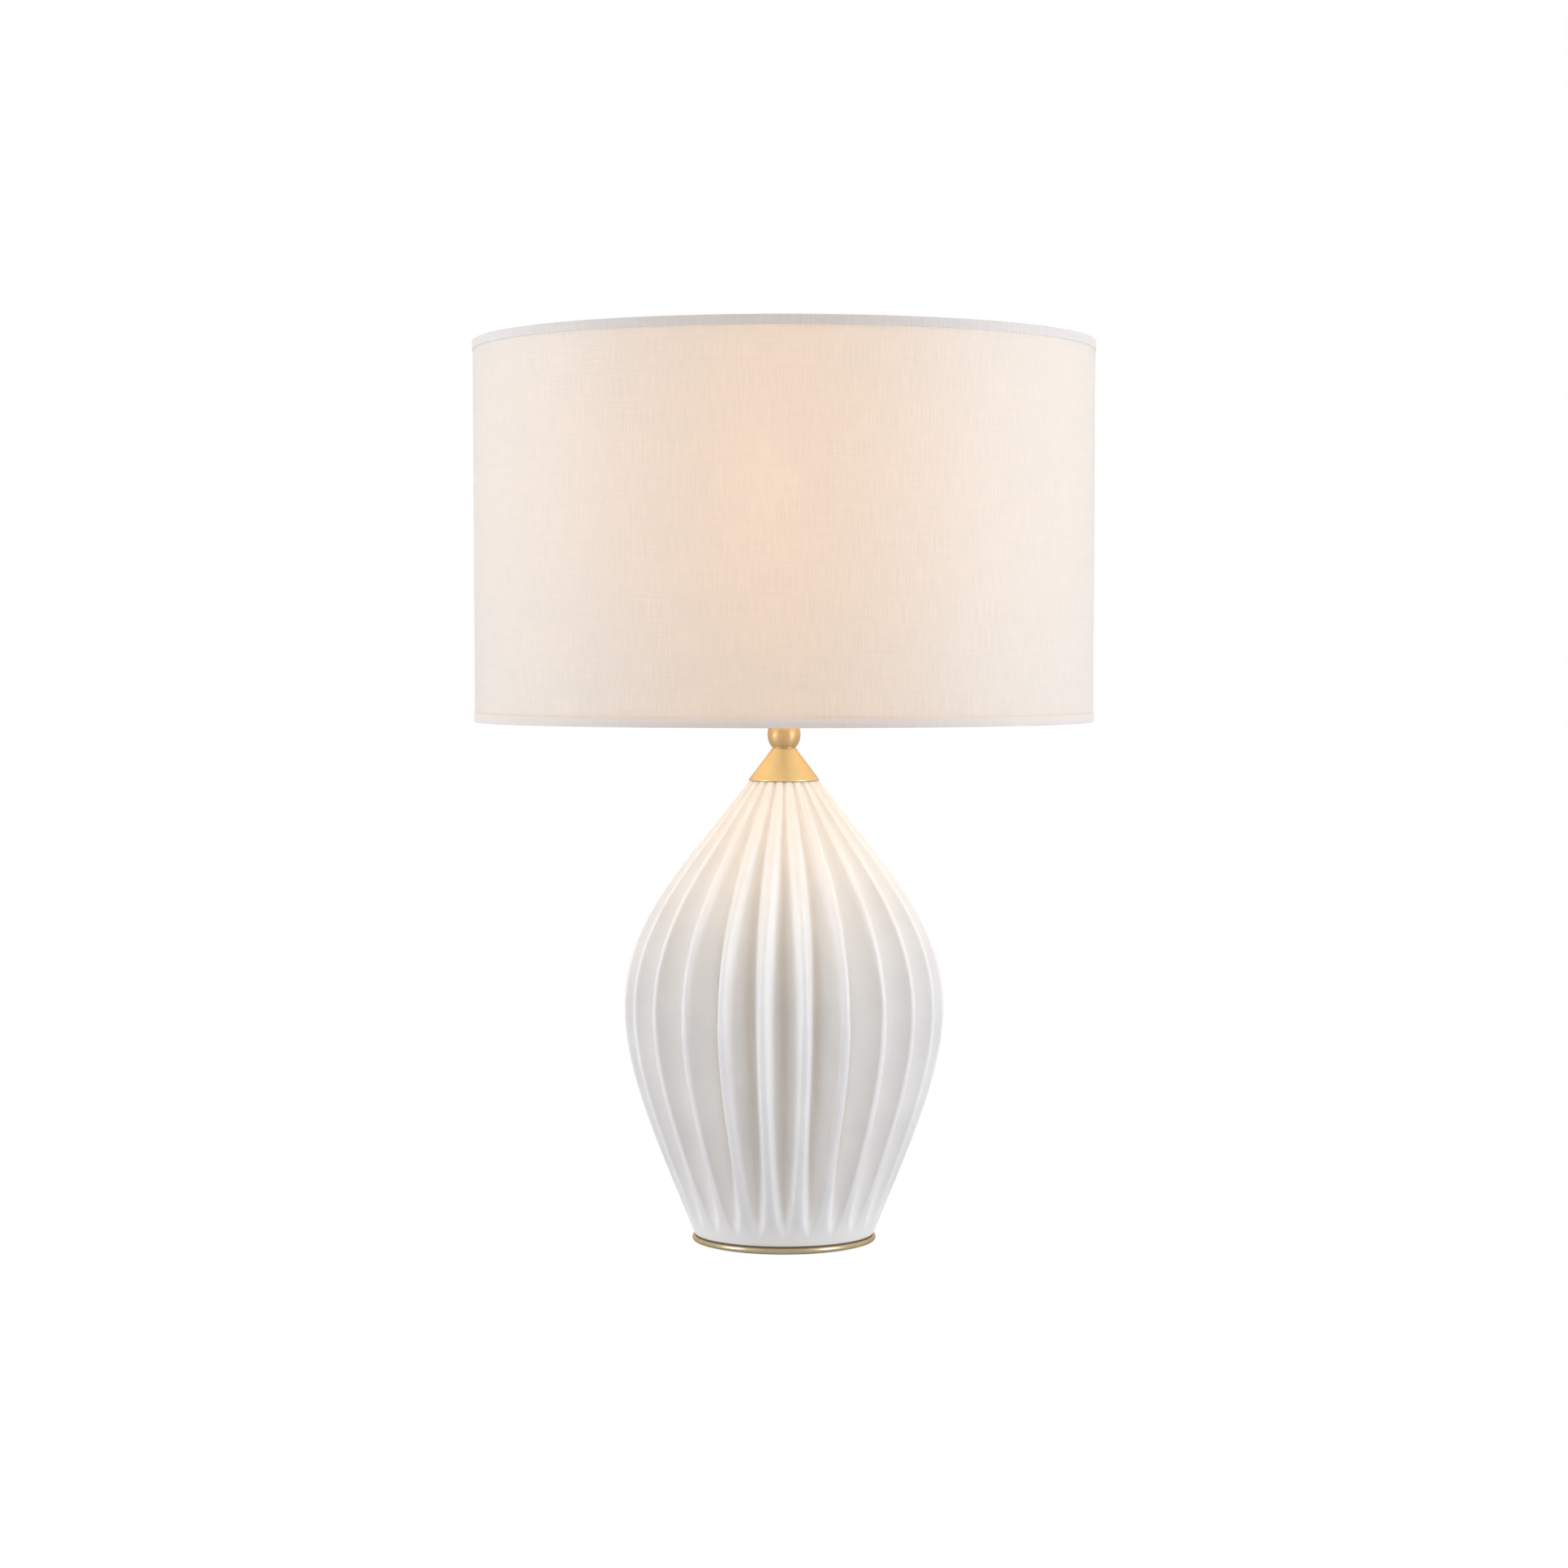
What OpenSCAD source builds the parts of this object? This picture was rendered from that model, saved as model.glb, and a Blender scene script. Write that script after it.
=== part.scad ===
// Table lamp: a fluted porcelain body on a brass base plate, clamped by one hollow
// stem, with a brass cone and ball at the neck and a drum shade on a screw lampholder.
// The origin is on the table under the stem, and +Y points to the back of the lamp.

/* [Base plate] */
// Diameter of the brass base plate
plate_d = 119.4; // [117:0.1:140]
// Thickness of the base plate at its rounded edge
plate_t = 3.8; // [3.6:0.1:8]
// Thickness of the felt pad under the plate
felt_t = 2; // [1.6:0.1:3]
// Depth of the felt pad's seat in the plate
felt_seat = 1.2; // [0.6:0.1:1.4]
// Width of the plate's rim around the felt pad
felt_rim = 4.5; // [3:0.1:8]
// Outside diameter of the plate's raised cup, which holds the clamp nut
cup_d = 34; // [30:1:42]
// Height of the cup above the plate
cup_h = 20; // [17:1:30]
// Wall of the cup
cup_wall = 1.6; // [1:0.1:2.5]
// Height of the cast iron ballast ring
ballast_h = 16; // [8:1:24]
// Width of the channel that leads the cord through the ballast and the cup
cord_channel_w = 10; // [8:0.5:14]
// Height of the cord's way through the wall of the cup
cord_channel_h = 9; // [7:0.5:10]

/* [Porcelain body] */
// Height of the porcelain body
body_h = 294; // [260:0.5:330]
// Diameter of the foot
foot_d = 116.5; // [110:0.5:118]
// Diameter over the ribs at the belly
belly_d = 208; // [180:0.5:230]
// Diameter over the ribs at the neck
neck_d = 45.4; // [42:0.1:48]
// Height of the belly's widest line above the foot
belly_h = 148.5; // [130:0.5:160]
// How far the outline leans out as it leaves the foot, in degrees
foot_lean = 22.5; // [15:0.5:30]
// How far the lean at the foot is felt along the outline
foot_reach = 70; // [50:1:80]
// How far the belly's upright line is felt downwards
belly_reach_low = 41; // [30:1:50]
// How far the belly's upright line is felt upwards
belly_reach_high = 58.5; // [45:0.5:70]
// How far the outline leans out below the neck, in degrees
neck_lean = 37.5; // [30:0.5:45]
// How far the lean at the neck is felt along the outline
neck_reach = 66; // [40:1:75]
// Thickness of the porcelain behind the bottom of a flute
body_wall = 4.5; // [3.5:0.1:6]
// Thickness of the soft ring between the plate and the foot
foot_ring_t = 1; // [0.3:0.1:1.5]
// Width of the soft ring
foot_ring_w = 3.2; // [2:0.1:4]
// How far the soft ring is set back from the edge of the foot
foot_ring_inset = 1; // [0.5:0.1:1.2]

/* [Flutes] */
// Number of flutes around the body
flute_count = 24; // [16:1:32]
// Depth of a flute at the belly
flute_depth = 24; // [14:0.5:26]
// Depth of a flute at the neck
flute_neck_depth = 2; // [1:0.1:3]
// Height above the foot at which the flutes begin
flute_start = 6; // [3:0.5:12]
// Width of the flat crest between two flutes at the belly
crest_w = 3.7; // [2:0.1:6]
// Width of the crest at the neck
crest_neck_w = 2.8; // [1.5:0.1:3.5]
// Height over which the crests narrow from the plain foot
crest_run = 4.6; // [3:0.1:10]

/* [Cord inlet] */
// Bore of the cord bushing
inlet_bore_d = 7; // [6:0.1:8]
// Wall of the bushing
inlet_wall = 1.4; // [1:0.1:2]
// Diameter of the bushing's flange
inlet_flange_d = 13; // [12:0.1:14]
// Thickness of the bushing's flange
inlet_flange_t = 1.8; // [1:0.1:3]
// Height of the bushing above the foot
inlet_h = 13; // [11:0.5:16]

/* [Neck] */
// Height of the brass cone
cone_h = 20.7; // [16:0.1:30]
// Diameter of the cone at its lower edge
cone_d = 45.7; // [45.5:0.1:50]
// Diameter of the cone at its top
cone_top_d = 15.6; // [14:0.1:18]
// Height of the cone's upright lower edge
cone_edge = 0.8; // [0.4:0.1:2]
// Wall of the cone
cone_wall = 1.2; // [0.8:0.1:2]
// Thickness of the soft ring between the porcelain and the cone
crown_ring_t = 0.4; // [0.2:0.1:1]
// Thickness of the washer that centres the stem in the neck
centring_t = 3; // [2:0.5:6]
// Diameter of the brass ball
ball_d = 21.5; // [19:0.1:26]
// Height of the ball between its two flats
ball_flat_h = 16.4; // [12:0.1:17]
// Radius of the curve of the ball's side, which is a little flatter than a true ball's
ball_side_r = 14; // [13:0.5:20]
// Diameter of the small collar above and below the ball
collar_d = 15.2; // [13:0.1:15.5]
// Thickness of each collar
collar_t = 1; // [0.6:0.1:2]

/* [Stem and clamp] */
// Diameter of the hollow threaded stem
stem_d = 10; // [9:0.5:10]
// Bore of the stem
stem_bore_d = 7; // [5:0.5:7]
// How far the stem stands out below the nut
stem_tail = 1.5; // [0.5:0.1:2]
// How far the stem reaches into the lampholder
stem_in_holder = 7; // [5:0.5:8]
// Diameter of the clamp washer
washer_d = 24; // [20:0.5:26]
// Thickness of the clamp washer
washer_t = 1.5; // [1:0.1:2.5]
// Diameter of the spring washer
spring_washer_d = 18; // [16:0.5:20]
// Thickness of the spring washer
spring_washer_t = 1.8; // [1:0.1:2.5]
// Width of the hexagon nut across its flats
nut_af = 14; // [13:0.5:17]
// Height of the nut
nut_t = 4; // [3:0.1:5]

/* [Lampholder] */
// Outside diameter of the lampholder's threaded barrel
barrel_d = 39; // [38.5:0.1:40]
// Height of the barrel above the cap
barrel_h = 38; // [36:0.5:44]
// Height of the lampholder's brass cap
cap_h = 20; // [18:0.5:26]
// Wall of the cap
cap_wall = 1.6; // [1:0.1:2]
// Diameter of the boss that takes the stem
cap_boss_d = 17; // [14:0.5:20]
// Height of the boss
cap_boss_h = 5; // [4:0.5:7]
// Depth of the barrel's spigot in the cap
spigot_h = 4; // [3:0.1:5]
// Diameter of the flange that carries the shade
flange_d = 47; // [45:0.5:52]
// Thickness of the flange
flange_t = 2; // [1.5:0.1:3]
// Height of the flange's seat above the cap
seat_h = 18; // [16:0.5:20]
// Bore of the brass screw shell for the bulb
shell_bore_d = 27.4; // [27.2:0.1:28]
// Wall of the screw shell
shell_wall = 0.4; // [0.3:0.1:0.6]
// Height of the insulator that carries the contacts
insulator_h = 12; // [11:0.5:14]
// Thickness of the insulator's lower flange
insulator_flange_t = 2; // [1.5:0.1:3]
// Diameter of the terminal screws' heads
terminal_head_d = 5.6; // [4:0.1:6]
// Diameter of the terminal screws' shanks
terminal_d = 3; // [2:0.1:3]
// Distance between the two terminal screws
terminal_pitch = 18; // [14:0.5:20]
// Diameter of the switch bar
bar_d = 5; // [4:0.1:5]
// How far the switch bar stands out when the lamp is on
bar_out = 12; // [10:0.5:14]
// Travel of the switch bar
bar_throw = 8; // [6:0.5:9]
// Height of the switch bar above the cap
bar_h = 5; // [4:0.1:6]

/* [Shade ring] */
// Diameter of the threaded ring that clamps the shade
ring_d = 50; // [47:0.5:56]
// Height of the ring
ring_h = 6; // [4:0.5:8]
// Number of finger grips around the ring
grip_count = 12; // [6:1:18]
// Depth of a finger grip
grip_depth = 0.9; // [0.5:0.1:1.2]

/* [Bulb] */
// Diameter of the bulb
bulb_d = 60; // [55:0.5:64]
// Height of the bulb from its contact to its top
bulb_h = 110; // [104:1:118]
// Diameter of the bulb's screw cap
bulb_cap_d = 26.4; // [26:0.1:26.6]
// Height of the screw cap
bulb_cap_h = 20; // [18:0.5:22]
// Height of the insulating glass between the contact and the cap
bulb_glass_h = 3.5; // [3:0.1:5]
// Thickness of the centre contact
bulb_tip_t = 1.5; // [1:0.1:2]
// Height of the plastic housing above the cap
housing_h = 37; // [32:1:44]
// Wall of the housing and the diffuser
bulb_wall = 1.5; // [1:0.1:2]
// Number of light chips on the board
chip_count = 10; // [6:1:14]

/* [Shade] */
// Outside diameter of the shade at its bottom rim
shade_d = 400; // [360:1:440]
// How much wider the shade is at its top rim
shade_flare = 1.5; // [0:0.5:30]
// Height of the shade
shade_h = 244; // [200:1:300]
// Thickness of the linen
linen_t = 0.6; // [0.4:0.1:1]
// Thickness of the stiff liner behind the linen
liner_t = 0.9; // [0.6:0.1:1.5]
// Height of the folded hem on each rim
hem_h = 6; // [5:0.1:12]
// Thickness of the hem's cloth
hem_t = 0.5; // [0.3:0.1:0.8]
// Thickness of the wire hoops and arms
wire_d = 3; // [2.5:0.1:4]
// How far the shade's bottom rim hangs below its fitter
fitter_drop = 39; // [25:1:60]
// Diameter of the fitter ring
fitter_d = 58; // [54:0.5:70]
// Thickness of the fitter ring
fitter_t = 1.5; // [1:0.1:2.5]
// Number of arms
arm_count = 3; // [3:1:4]

/* [Clearances] */
// Radial clearance of a piece that turns or slides on another
run_gap = 0.06; // [0.03:0.01:0.1]
// Radial clearance of a piece that is only slipped over another
slip_gap = 0.2; // [0.1:0.05:0.3]
// Gap between two faces that pass each other
face_gap = 0.2; // [0.1:0.05:0.3]

/* [Hidden] */
$fn = 96;

// Heights, from the table up
plate_z = felt_t - felt_seat;
plate_top = plate_z + plate_t;
foot_z = plate_top + foot_ring_t;
belly_z = foot_z + belly_h;
neck_z = foot_z + body_h;
cone_z = neck_z + crown_ring_t;
ball_z = cone_z + cone_h;
holder_z = ball_z + ball_flat_h + 2 * collar_t;
barrel_z = holder_z + cap_h;
seat_z = barrel_z + seat_h;
barrel_top = barrel_z + barrel_h;
shade_z = seat_z - fitter_drop;
shade_top = shade_z + shade_h;

// The clamp hangs from the underside of the cup
cup_roof = plate_top + cup_h - cup_wall;
washer_z = cup_roof - washer_t;
spring_washer_z = washer_z - spring_washer_t;
nut_z = spring_washer_z - nut_t;
stem_z = nut_z - stem_tail;
stem_top = holder_z + stem_in_holder;

// Outline of the ribs, as two curves that meet upright at the belly
foot_r = foot_d / 2;
belly_r = belly_d / 2;
neck_r = neck_d / 2;
lower_curve = [
    [foot_r, foot_z],
    [foot_r + foot_reach * sin(foot_lean), foot_z + foot_reach * cos(foot_lean)],
    [belly_r, belly_z - belly_reach_low],
    [belly_r, belly_z]
];
upper_curve = [
    [belly_r, belly_z],
    [belly_r, belly_z + belly_reach_high],
    [neck_r + neck_reach * sin(neck_lean), neck_z - neck_reach * cos(neck_lean)],
    [neck_r, neck_z]
];
rings_per_curve = 11;
foot_bias = 1.5;
flute_z = foot_z + flute_start;
flute_pitch = 360 / flute_count;
// Widest share of a pitch that a crest may take, on the plain foot
crest_limit = 0.8;
// Share of a pitch that a crest takes at the belly and at the neck
crest_share = crest_w * flute_count / (2 * PI * belly_r);
crest_neck_share = crest_neck_w * flute_count / (2 * PI * neck_r);

// Cord inlet at the back
inlet_z = foot_z + inlet_h;
inlet_face_y = foot_r + 0.8;
inlet_shank_d = inlet_bore_d + 2 * inlet_wall;

// Lampholder
barrel_r = barrel_d / 2;
shell_r = shell_bore_d / 2 + shell_wall;
barrel_bore_r = shell_r + slip_gap;
cap_bore_r = barrel_r - cap_wall;
spigot_r = cap_bore_r - slip_gap;
insulator_z = barrel_z - spigot_h;
insulator_top = insulator_z + spigot_h + insulator_h;
contact_t = 1.8;
bar_z = barrel_z + bar_h;

// Bulb, screwed home on the centre contact
bulb_z = insulator_top + contact_t + face_gap;
bulb_cap_z = bulb_z + bulb_tip_t + bulb_glass_h;
housing_z = bulb_cap_z + bulb_cap_h;
board_z = housing_z + housing_h;
bulb_r = bulb_d / 2;
bulb_neck_r = bulb_cap_d / 2 + 0.6;
bulb_tip_r = 4.5;

// Shade
shade_r = shade_d / 2;
fitter_bore_r = barrel_r + slip_gap;
ring_z = seat_z + fitter_t + face_gap;

// A point on a curve with four control points
function curve(p, t) =
    pow(1 - t, 3) * p[0] + 3 * pow(1 - t, 2) * t * p[1]
    + 3 * (1 - t) * pow(t, 2) * p[2] + pow(t, 3) * p[3];

// Outline of the ribs as [radius, height], with its rings closer together at the foot
outline = concat(
    [for (i = [0 : rings_per_curve]) curve(lower_curve, pow(i / rings_per_curve, foot_bias))],
    [for (i = [1 : rings_per_curve]) curve(upper_curve, i / rings_per_curve)]
);

// Depth of the flutes at height z, where the ribs have radius r
function depth_at(z, r) =
    z < belly_z
    ? flute_depth * r / belly_r
        * (1 - pow(1 - max(0, z - flute_z) / (belly_z - flute_z), 3))
    : let (rise = pow((z - belly_z) / (neck_z - belly_z), 1.3))
      flute_depth * r / belly_r * (1 - rise) + flute_neck_depth * rise * r / neck_r;

// Share of a pitch that the crest takes at height z
function crest_at(z) =
    z < belly_z
    ? min(crest_limit, crest_share
        + (1 - crest_share) * crest_run / (crest_run + max(0, z - flute_z)))
    : crest_share + (crest_neck_share - crest_share)
        * pow((z - belly_z) / (neck_z - belly_z), 3);

// One pitch from the bottom of a flute: [share of the pitch, share of the depth]
flank_steps = 3;
function pitch_stations(crest) = concat(
    [for (i = [0 : flank_steps])
        [(1 - crest) / 2 * i / flank_steps, cos(90 * i / flank_steps)]],
    [for (i = [flank_steps : -1 : 1])
        [1 - (1 - crest) / 2 * i / flank_steps, cos(90 * i / flank_steps)]]
);
stations = 2 * flank_steps + 1;

// A point at angle a from the front, towards the right
function around(r, a, z) = [r * sin(a), -r * cos(a), z];

function fluted_ring(r, z) = [
    for (i = [0 : flute_count - 1], s = pitch_stations(crest_at(z)))
        around(r - depth_at(z, r) * s[1], (i + s[0]) * flute_pitch, z)
];
inner_sides = 2 * flute_count;
function plain_ring(r, z) = [
    for (i = [0 : inner_sides - 1]) around(r, i * 360 / inner_sides, z)
];

// Linen shade: outside radius of the wall at height z, under the hem
function wall_r(z) = shade_r + shade_flare / 2 * (z - shade_z) / shade_h - hem_t;

// The fluted porcelain, open at the foot and at the neck
module porcelain_body() {
    levels = len(outline);
    around_out = flute_count * stations;
    inner_at = levels * around_out;
    inner_levels = [for (i = [0 : 2 : levels - 1]) outline[i]];
    inner_last = len(inner_levels) - 1;
    function out(i, k) = i * around_out + k % around_out;
    function inn(i, k) = inner_at + i * inner_sides + k % inner_sides;
    // The inner corner that each outer station is joined to across the rim
    function rim_corner(k) = round(k * inner_sides / around_out);

    points = concat(
        [for (p = outline) each fluted_ring(p[0], p[1])],
        [for (p = inner_levels)
            each plain_ring(p[0] - depth_at(p[1], p[0]) - body_wall, p[1])]
    );
    faces = concat(
        [for (i = [0 : levels - 2], k = [0 : around_out - 1])
            each [[out(i, k), out(i + 1, k), out(i + 1, k + 1)],
                [out(i, k), out(i + 1, k + 1), out(i, k + 1)]]],
        [for (i = [0 : inner_last - 1], k = [0 : inner_sides - 1])
            each [[inn(i, k), inn(i + 1, k + 1), inn(i + 1, k)],
                [inn(i, k), inn(i, k + 1), inn(i + 1, k + 1)]]],
        [for (k = [0 : around_out - 1])
            each let (a = rim_corner(k), b = rim_corner(k + 1)) concat(
                [[out(0, k), out(0, k + 1), inn(0, a)],
                    [out(levels - 1, k + 1), out(levels - 1, k), inn(inner_last, a)]],
                a == b ? [] :
                [[inn(0, b), inn(0, a), out(0, k + 1)],
                    [inn(inner_last, a), inn(inner_last, b), out(levels - 1, k + 1)]])]
    );
    color("ivory")
    difference() {
        polyhedron(points, faces);
        translate([0, 0, inlet_z])
        rotate([-90, 0, 0]) {
            cylinder(d = inlet_shank_d + 2 * slip_gap, h = belly_r);
            translate([0, 0, inlet_face_y])
            cylinder(d = inlet_flange_d + 2 * slip_gap, h = belly_r);
        }
    }
}

// Plastic bushing that guards the cord where it leaves the porcelain
module cord_bushing() {
    shank_l = body_wall + 3;
    color("white")
    translate([0, inlet_face_y, inlet_z])
    rotate([-90, 0, 0])
    difference() {
        union() {
            cylinder(d = inlet_flange_d, h = inlet_flange_t);
            translate([0, 0, -shank_l])
            cylinder(d = inlet_shank_d, h = shank_l);
        }
        translate([0, 0, -shank_l - 1])
        cylinder(d = inlet_bore_d, h = shank_l + inlet_flange_t + 2);
    }
}

// Felt pad that the lamp stands on
module felt_pad() {
    color("darkolivegreen")
    cylinder(r = plate_d / 2 - felt_rim - slip_gap, h = felt_t);
}

// Spun brass plate with a rounded edge, a seat for the felt and a raised cup
module base_plate() {
    r = plate_d / 2;
    color("darkgoldenrod")
    difference() {
        union() {
            translate([0, 0, plate_z])
            rotate_extrude()
            union() {
                square([r - plate_t / 2, plate_t]);
                translate([r - plate_t / 2, plate_t / 2])
                circle(d = plate_t);
            }
            cylinder(d = cup_d, h = plate_top + cup_h);
        }
        translate([0, 0, -1])
        cylinder(r = r - felt_rim, h = felt_t + 1);
        cylinder(d = cup_d - 2 * cup_wall, h = cup_roof);
        cylinder(d = stem_d + 2 * slip_gap, h = plate_top + cup_h + 1);
        translate([-cord_channel_w / 2, 0, plate_top])
        cube([cord_channel_w, cup_d, cord_channel_h]);
    }
}

// Cast iron ring inside the foot, with a channel for the cord
module ballast_ring() {
    outer_r = foot_r - body_wall - 5 * slip_gap;
    color("dimgray")
    translate([0, 0, plate_top])
    difference() {
        cylinder(r = outer_r, h = ballast_h);
        translate([0, 0, -1])
        cylinder(d = cup_d + 4 * slip_gap, h = ballast_h + 2);
        translate([-cord_channel_w / 2, 0, -1])
        cube([cord_channel_w, outer_r + 1, ballast_h + 2]);
    }
}

// Soft ring that beds the porcelain on the plate and leaves a thin shadow line
module foot_ring() {
    outer_r = foot_r - foot_ring_inset;
    color("black")
    translate([0, 0, plate_top])
    difference() {
        cylinder(r = outer_r, h = foot_ring_t);
        translate([0, 0, -1])
        cylinder(r = outer_r - foot_ring_w, h = foot_ring_t + 2);
    }
}

// A flat round washer on the axis, with its lower face at z
module washer(outer_d, bore_d, t, z) {
    translate([0, 0, z])
    difference() {
        cylinder(d = outer_d, h = t);
        translate([0, 0, -1])
        cylinder(d = bore_d, h = t + 2);
    }
}

// Hollow threaded stem that clamps the whole lamp together and carries the wires
module stem() {
    color("silver")
    washer(stem_d, stem_bore_d, stem_top - stem_z, stem_z);
}

module clamp_washer() {
    color("silver")
    washer(washer_d, stem_d + 2 * slip_gap, washer_t, washer_z);
}

// Split spring washer
module spring_washer() {
    split_w = 1.5;
    color("gray")
    difference() {
        washer(spring_washer_d, stem_d + 2 * slip_gap, spring_washer_t, spring_washer_z);
        translate([-split_w / 2, 0, spring_washer_z - 1])
        cube([split_w, spring_washer_d, spring_washer_t + 2]);
    }
}

module clamp_nut() {
    color("silver")
    translate([0, 0, nut_z])
    difference() {
        cylinder(d = nut_af / cos(30), h = nut_t, $fn = 6);
        translate([0, 0, -1])
        cylinder(d = stem_d + 2 * run_gap, h = nut_t + 2);
    }
}

// Soft ring between the neck of the porcelain and the brass cone
crown_ring_w = 1.6;
crown_ring_r = neck_r - flute_neck_depth + 1;
module crown_ring() {
    color("ivory")
    washer(2 * crown_ring_r, 2 * (crown_ring_r - crown_ring_w), crown_ring_t, neck_z);
}

// Washer that drops into the neck and keeps the stem on the axis
neck_bore_r = neck_r - flute_neck_depth - body_wall;
module centring_washer() {
    lip_t = 1.2;
    lip_r = crown_ring_r - crown_ring_w - slip_gap;
    color("silver")
    difference() {
        union() {
            translate([0, 0, neck_z])
            cylinder(r = lip_r, h = lip_t);
            translate([0, 0, neck_z - centring_t])
            cylinder(r = neck_bore_r - 2 * slip_gap, h = centring_t);
        }
        translate([0, 0, neck_z - centring_t - 1])
        cylinder(d = stem_d + 2 * slip_gap, h = centring_t + lip_t + 2);
    }
}

// Spun brass cone that covers the neck
module neck_cone() {
    r = cone_d / 2;
    top_r = cone_top_d / 2;
    lean = atan((r - top_r) / (cone_h - cone_edge));
    side_w = cone_wall / cos(lean);
    roof_t = 2 * cone_wall;
    color("goldenrod")
    translate([0, 0, cone_z])
    rotate_extrude()
    polygon([
        [r - side_w, 0],
        [r, 0],
        [r, cone_edge],
        [top_r, cone_h],
        [stem_d / 2 + slip_gap, cone_h],
        [stem_d / 2 + slip_gap, cone_h - roof_t],
        [top_r - side_w + roof_t * tan(lean), cone_h - roof_t],
        [r - side_w, cone_edge]
    ]);
}

// Turned brass ball with a small collar at each end
module neck_ball() {
    color("goldenrod")
    translate([0, 0, ball_z])
    difference() {
        union() {
            cylinder(d = collar_d, h = ball_flat_h + 2 * collar_t);
            translate([0, 0, collar_t])
            rotate_extrude()
            intersection() {
                translate([ball_d / 2 - ball_side_r, ball_flat_h / 2])
                circle(r = ball_side_r);
                square([ball_d, ball_flat_h]);
            }
        }
        translate([0, 0, -1])
        cylinder(d = stem_d + 2 * slip_gap, h = ball_flat_h + 2 * collar_t + 2);
    }
}

// Brass cap of the lampholder, screwed on the stem
module holder_cap() {
    boss_r = cap_boss_d / 2;
    dome_h = cap_h - cap_boss_h - spigot_h - 2;
    dome_steps = 6;
    color("goldenrod")
    translate([0, 0, holder_z])
    rotate_extrude()
    polygon(concat(
        [[stem_d / 2 + run_gap, 0], [boss_r, 0], [boss_r, cap_boss_h]],
        [for (i = [1 : dome_steps]) let (a = 90 * i / dome_steps)
            [boss_r + (barrel_r - boss_r) * sin(a), cap_boss_h + dome_h * (1 - cos(a))]],
        [[barrel_r, cap_h], [cap_bore_r, cap_h]],
        [for (i = [dome_steps : -1 : 1]) let (a = 90 * i / dome_steps)
            [boss_r + (cap_bore_r - boss_r) * sin(a),
                cap_boss_h + cap_wall + dome_h * (1 - cos(a))]],
        [[stem_d / 2 + run_gap, cap_boss_h + cap_wall]]
    ));
}

// Insulator inside the barrel, with the way for the switch bar through it
module holder_insulator() {
    color("white")
    difference() {
        union() {
            translate([0, 0, insulator_z - insulator_flange_t])
            cylinder(r = spigot_r - slip_gap, h = insulator_flange_t);
            translate([0, 0, insulator_z])
            cylinder(r = barrel_bore_r - slip_gap, h = insulator_top - insulator_z);
        }
        translate([-barrel_r, 0, bar_z])
        rotate([0, 90, 0])
        cylinder(d = bar_d + 2 * run_gap, h = barrel_d);
        terminal_places()
        translate([0, 0, -1])
        cylinder(d = terminal_d + 2 * run_gap, h = terminal_l + 1);
    }
}

// The two terminal screws enter the insulator from below
terminal_l = insulator_flange_t + 3;
module terminal_places() {
    for (side = [-1, 1])
        translate([0, side * terminal_pitch / 2, insulator_z - insulator_flange_t])
        children();
}

module terminal_screws() {
    head_h = 1.6;
    color("goldenrod")
    terminal_places() {
        cylinder(d = terminal_d, h = terminal_l - 1);
        translate([0, 0, -head_h])
        cylinder(d = terminal_head_d, h = head_h);
    }
}

// Contact under the tip of the bulb
contact_d = 8;
module centre_contact() {
    color("goldenrod")
    translate([0, 0, insulator_top])
    cylinder(d = contact_d, h = contact_t);
}

// Brass shell that the bulb screws into, seated on the insulator
module screw_shell() {
    color("goldenrod")
    translate([0, 0, insulator_top])
    difference() {
        cylinder(r = shell_r, h = barrel_top - insulator_top - 2);
        translate([0, 0, shell_wall])
        cylinder(d = shell_bore_d, h = barrel_h);
        translate([0, 0, -1])
        cylinder(d = contact_d + 6, h = barrel_h);
    }
}

// Black barrel with the shade's seat and the way for the switch bar
module holder_barrel() {
    color("#222222")
    difference() {
        rotate_extrude()
        polygon([
            [barrel_bore_r, insulator_z],
            [spigot_r, insulator_z],
            [spigot_r, barrel_z],
            [barrel_r, barrel_z],
            [barrel_r, seat_z - flange_t],
            [flange_d / 2, seat_z - flange_t],
            [flange_d / 2, seat_z],
            [barrel_r, seat_z],
            [barrel_r, barrel_top],
            [barrel_bore_r, barrel_top]
        ]);
        translate([-barrel_d, 0, bar_z])
        rotate([0, 90, 0])
        cylinder(d = bar_d + 2 * run_gap, h = 2 * barrel_d);
    }
}

// Push-through switch bar, shown in its on position
module switch_bar() {
    tip = 0.8;
    length = barrel_d + 2 * bar_out - bar_throw;
    color("#222222")
    translate([barrel_r + bar_out - length, 0, bar_z])
    rotate([0, 90, 0]) {
        cylinder(d1 = bar_d - 2 * tip, d2 = bar_d, h = tip);
        translate([0, 0, tip])
        cylinder(d = bar_d, h = length - 2 * tip);
        translate([0, 0, length - tip])
        cylinder(d1 = bar_d, d2 = bar_d - 2 * tip, h = tip);
    }
}

// Threaded ring that clamps the shade on its seat, with finger grips
module shade_ring() {
    color("#222222")
    difference() {
        washer(ring_d, barrel_d + 2 * run_gap, ring_h, ring_z);
        for (i = [0 : grip_count - 1])
            rotate(i * 360 / grip_count)
            translate([ring_d / 2 + grip_depth, 0, ring_z - 1])
            cylinder(r = 2 * grip_depth, h = ring_h + 2);
    }
}

// Centre contact of the bulb
module bulb_tip() {
    color("silver")
    translate([0, 0, bulb_z])
    cylinder(r = bulb_tip_r, h = bulb_tip_t);
}

// Black glass between the contact and the screw cap
module bulb_glass() {
    color("black")
    translate([0, 0, bulb_z + bulb_tip_t])
    cylinder(r1 = bulb_tip_r + 1, r2 = bulb_cap_d / 2 - 1.5, h = bulb_glass_h);
}

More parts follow.
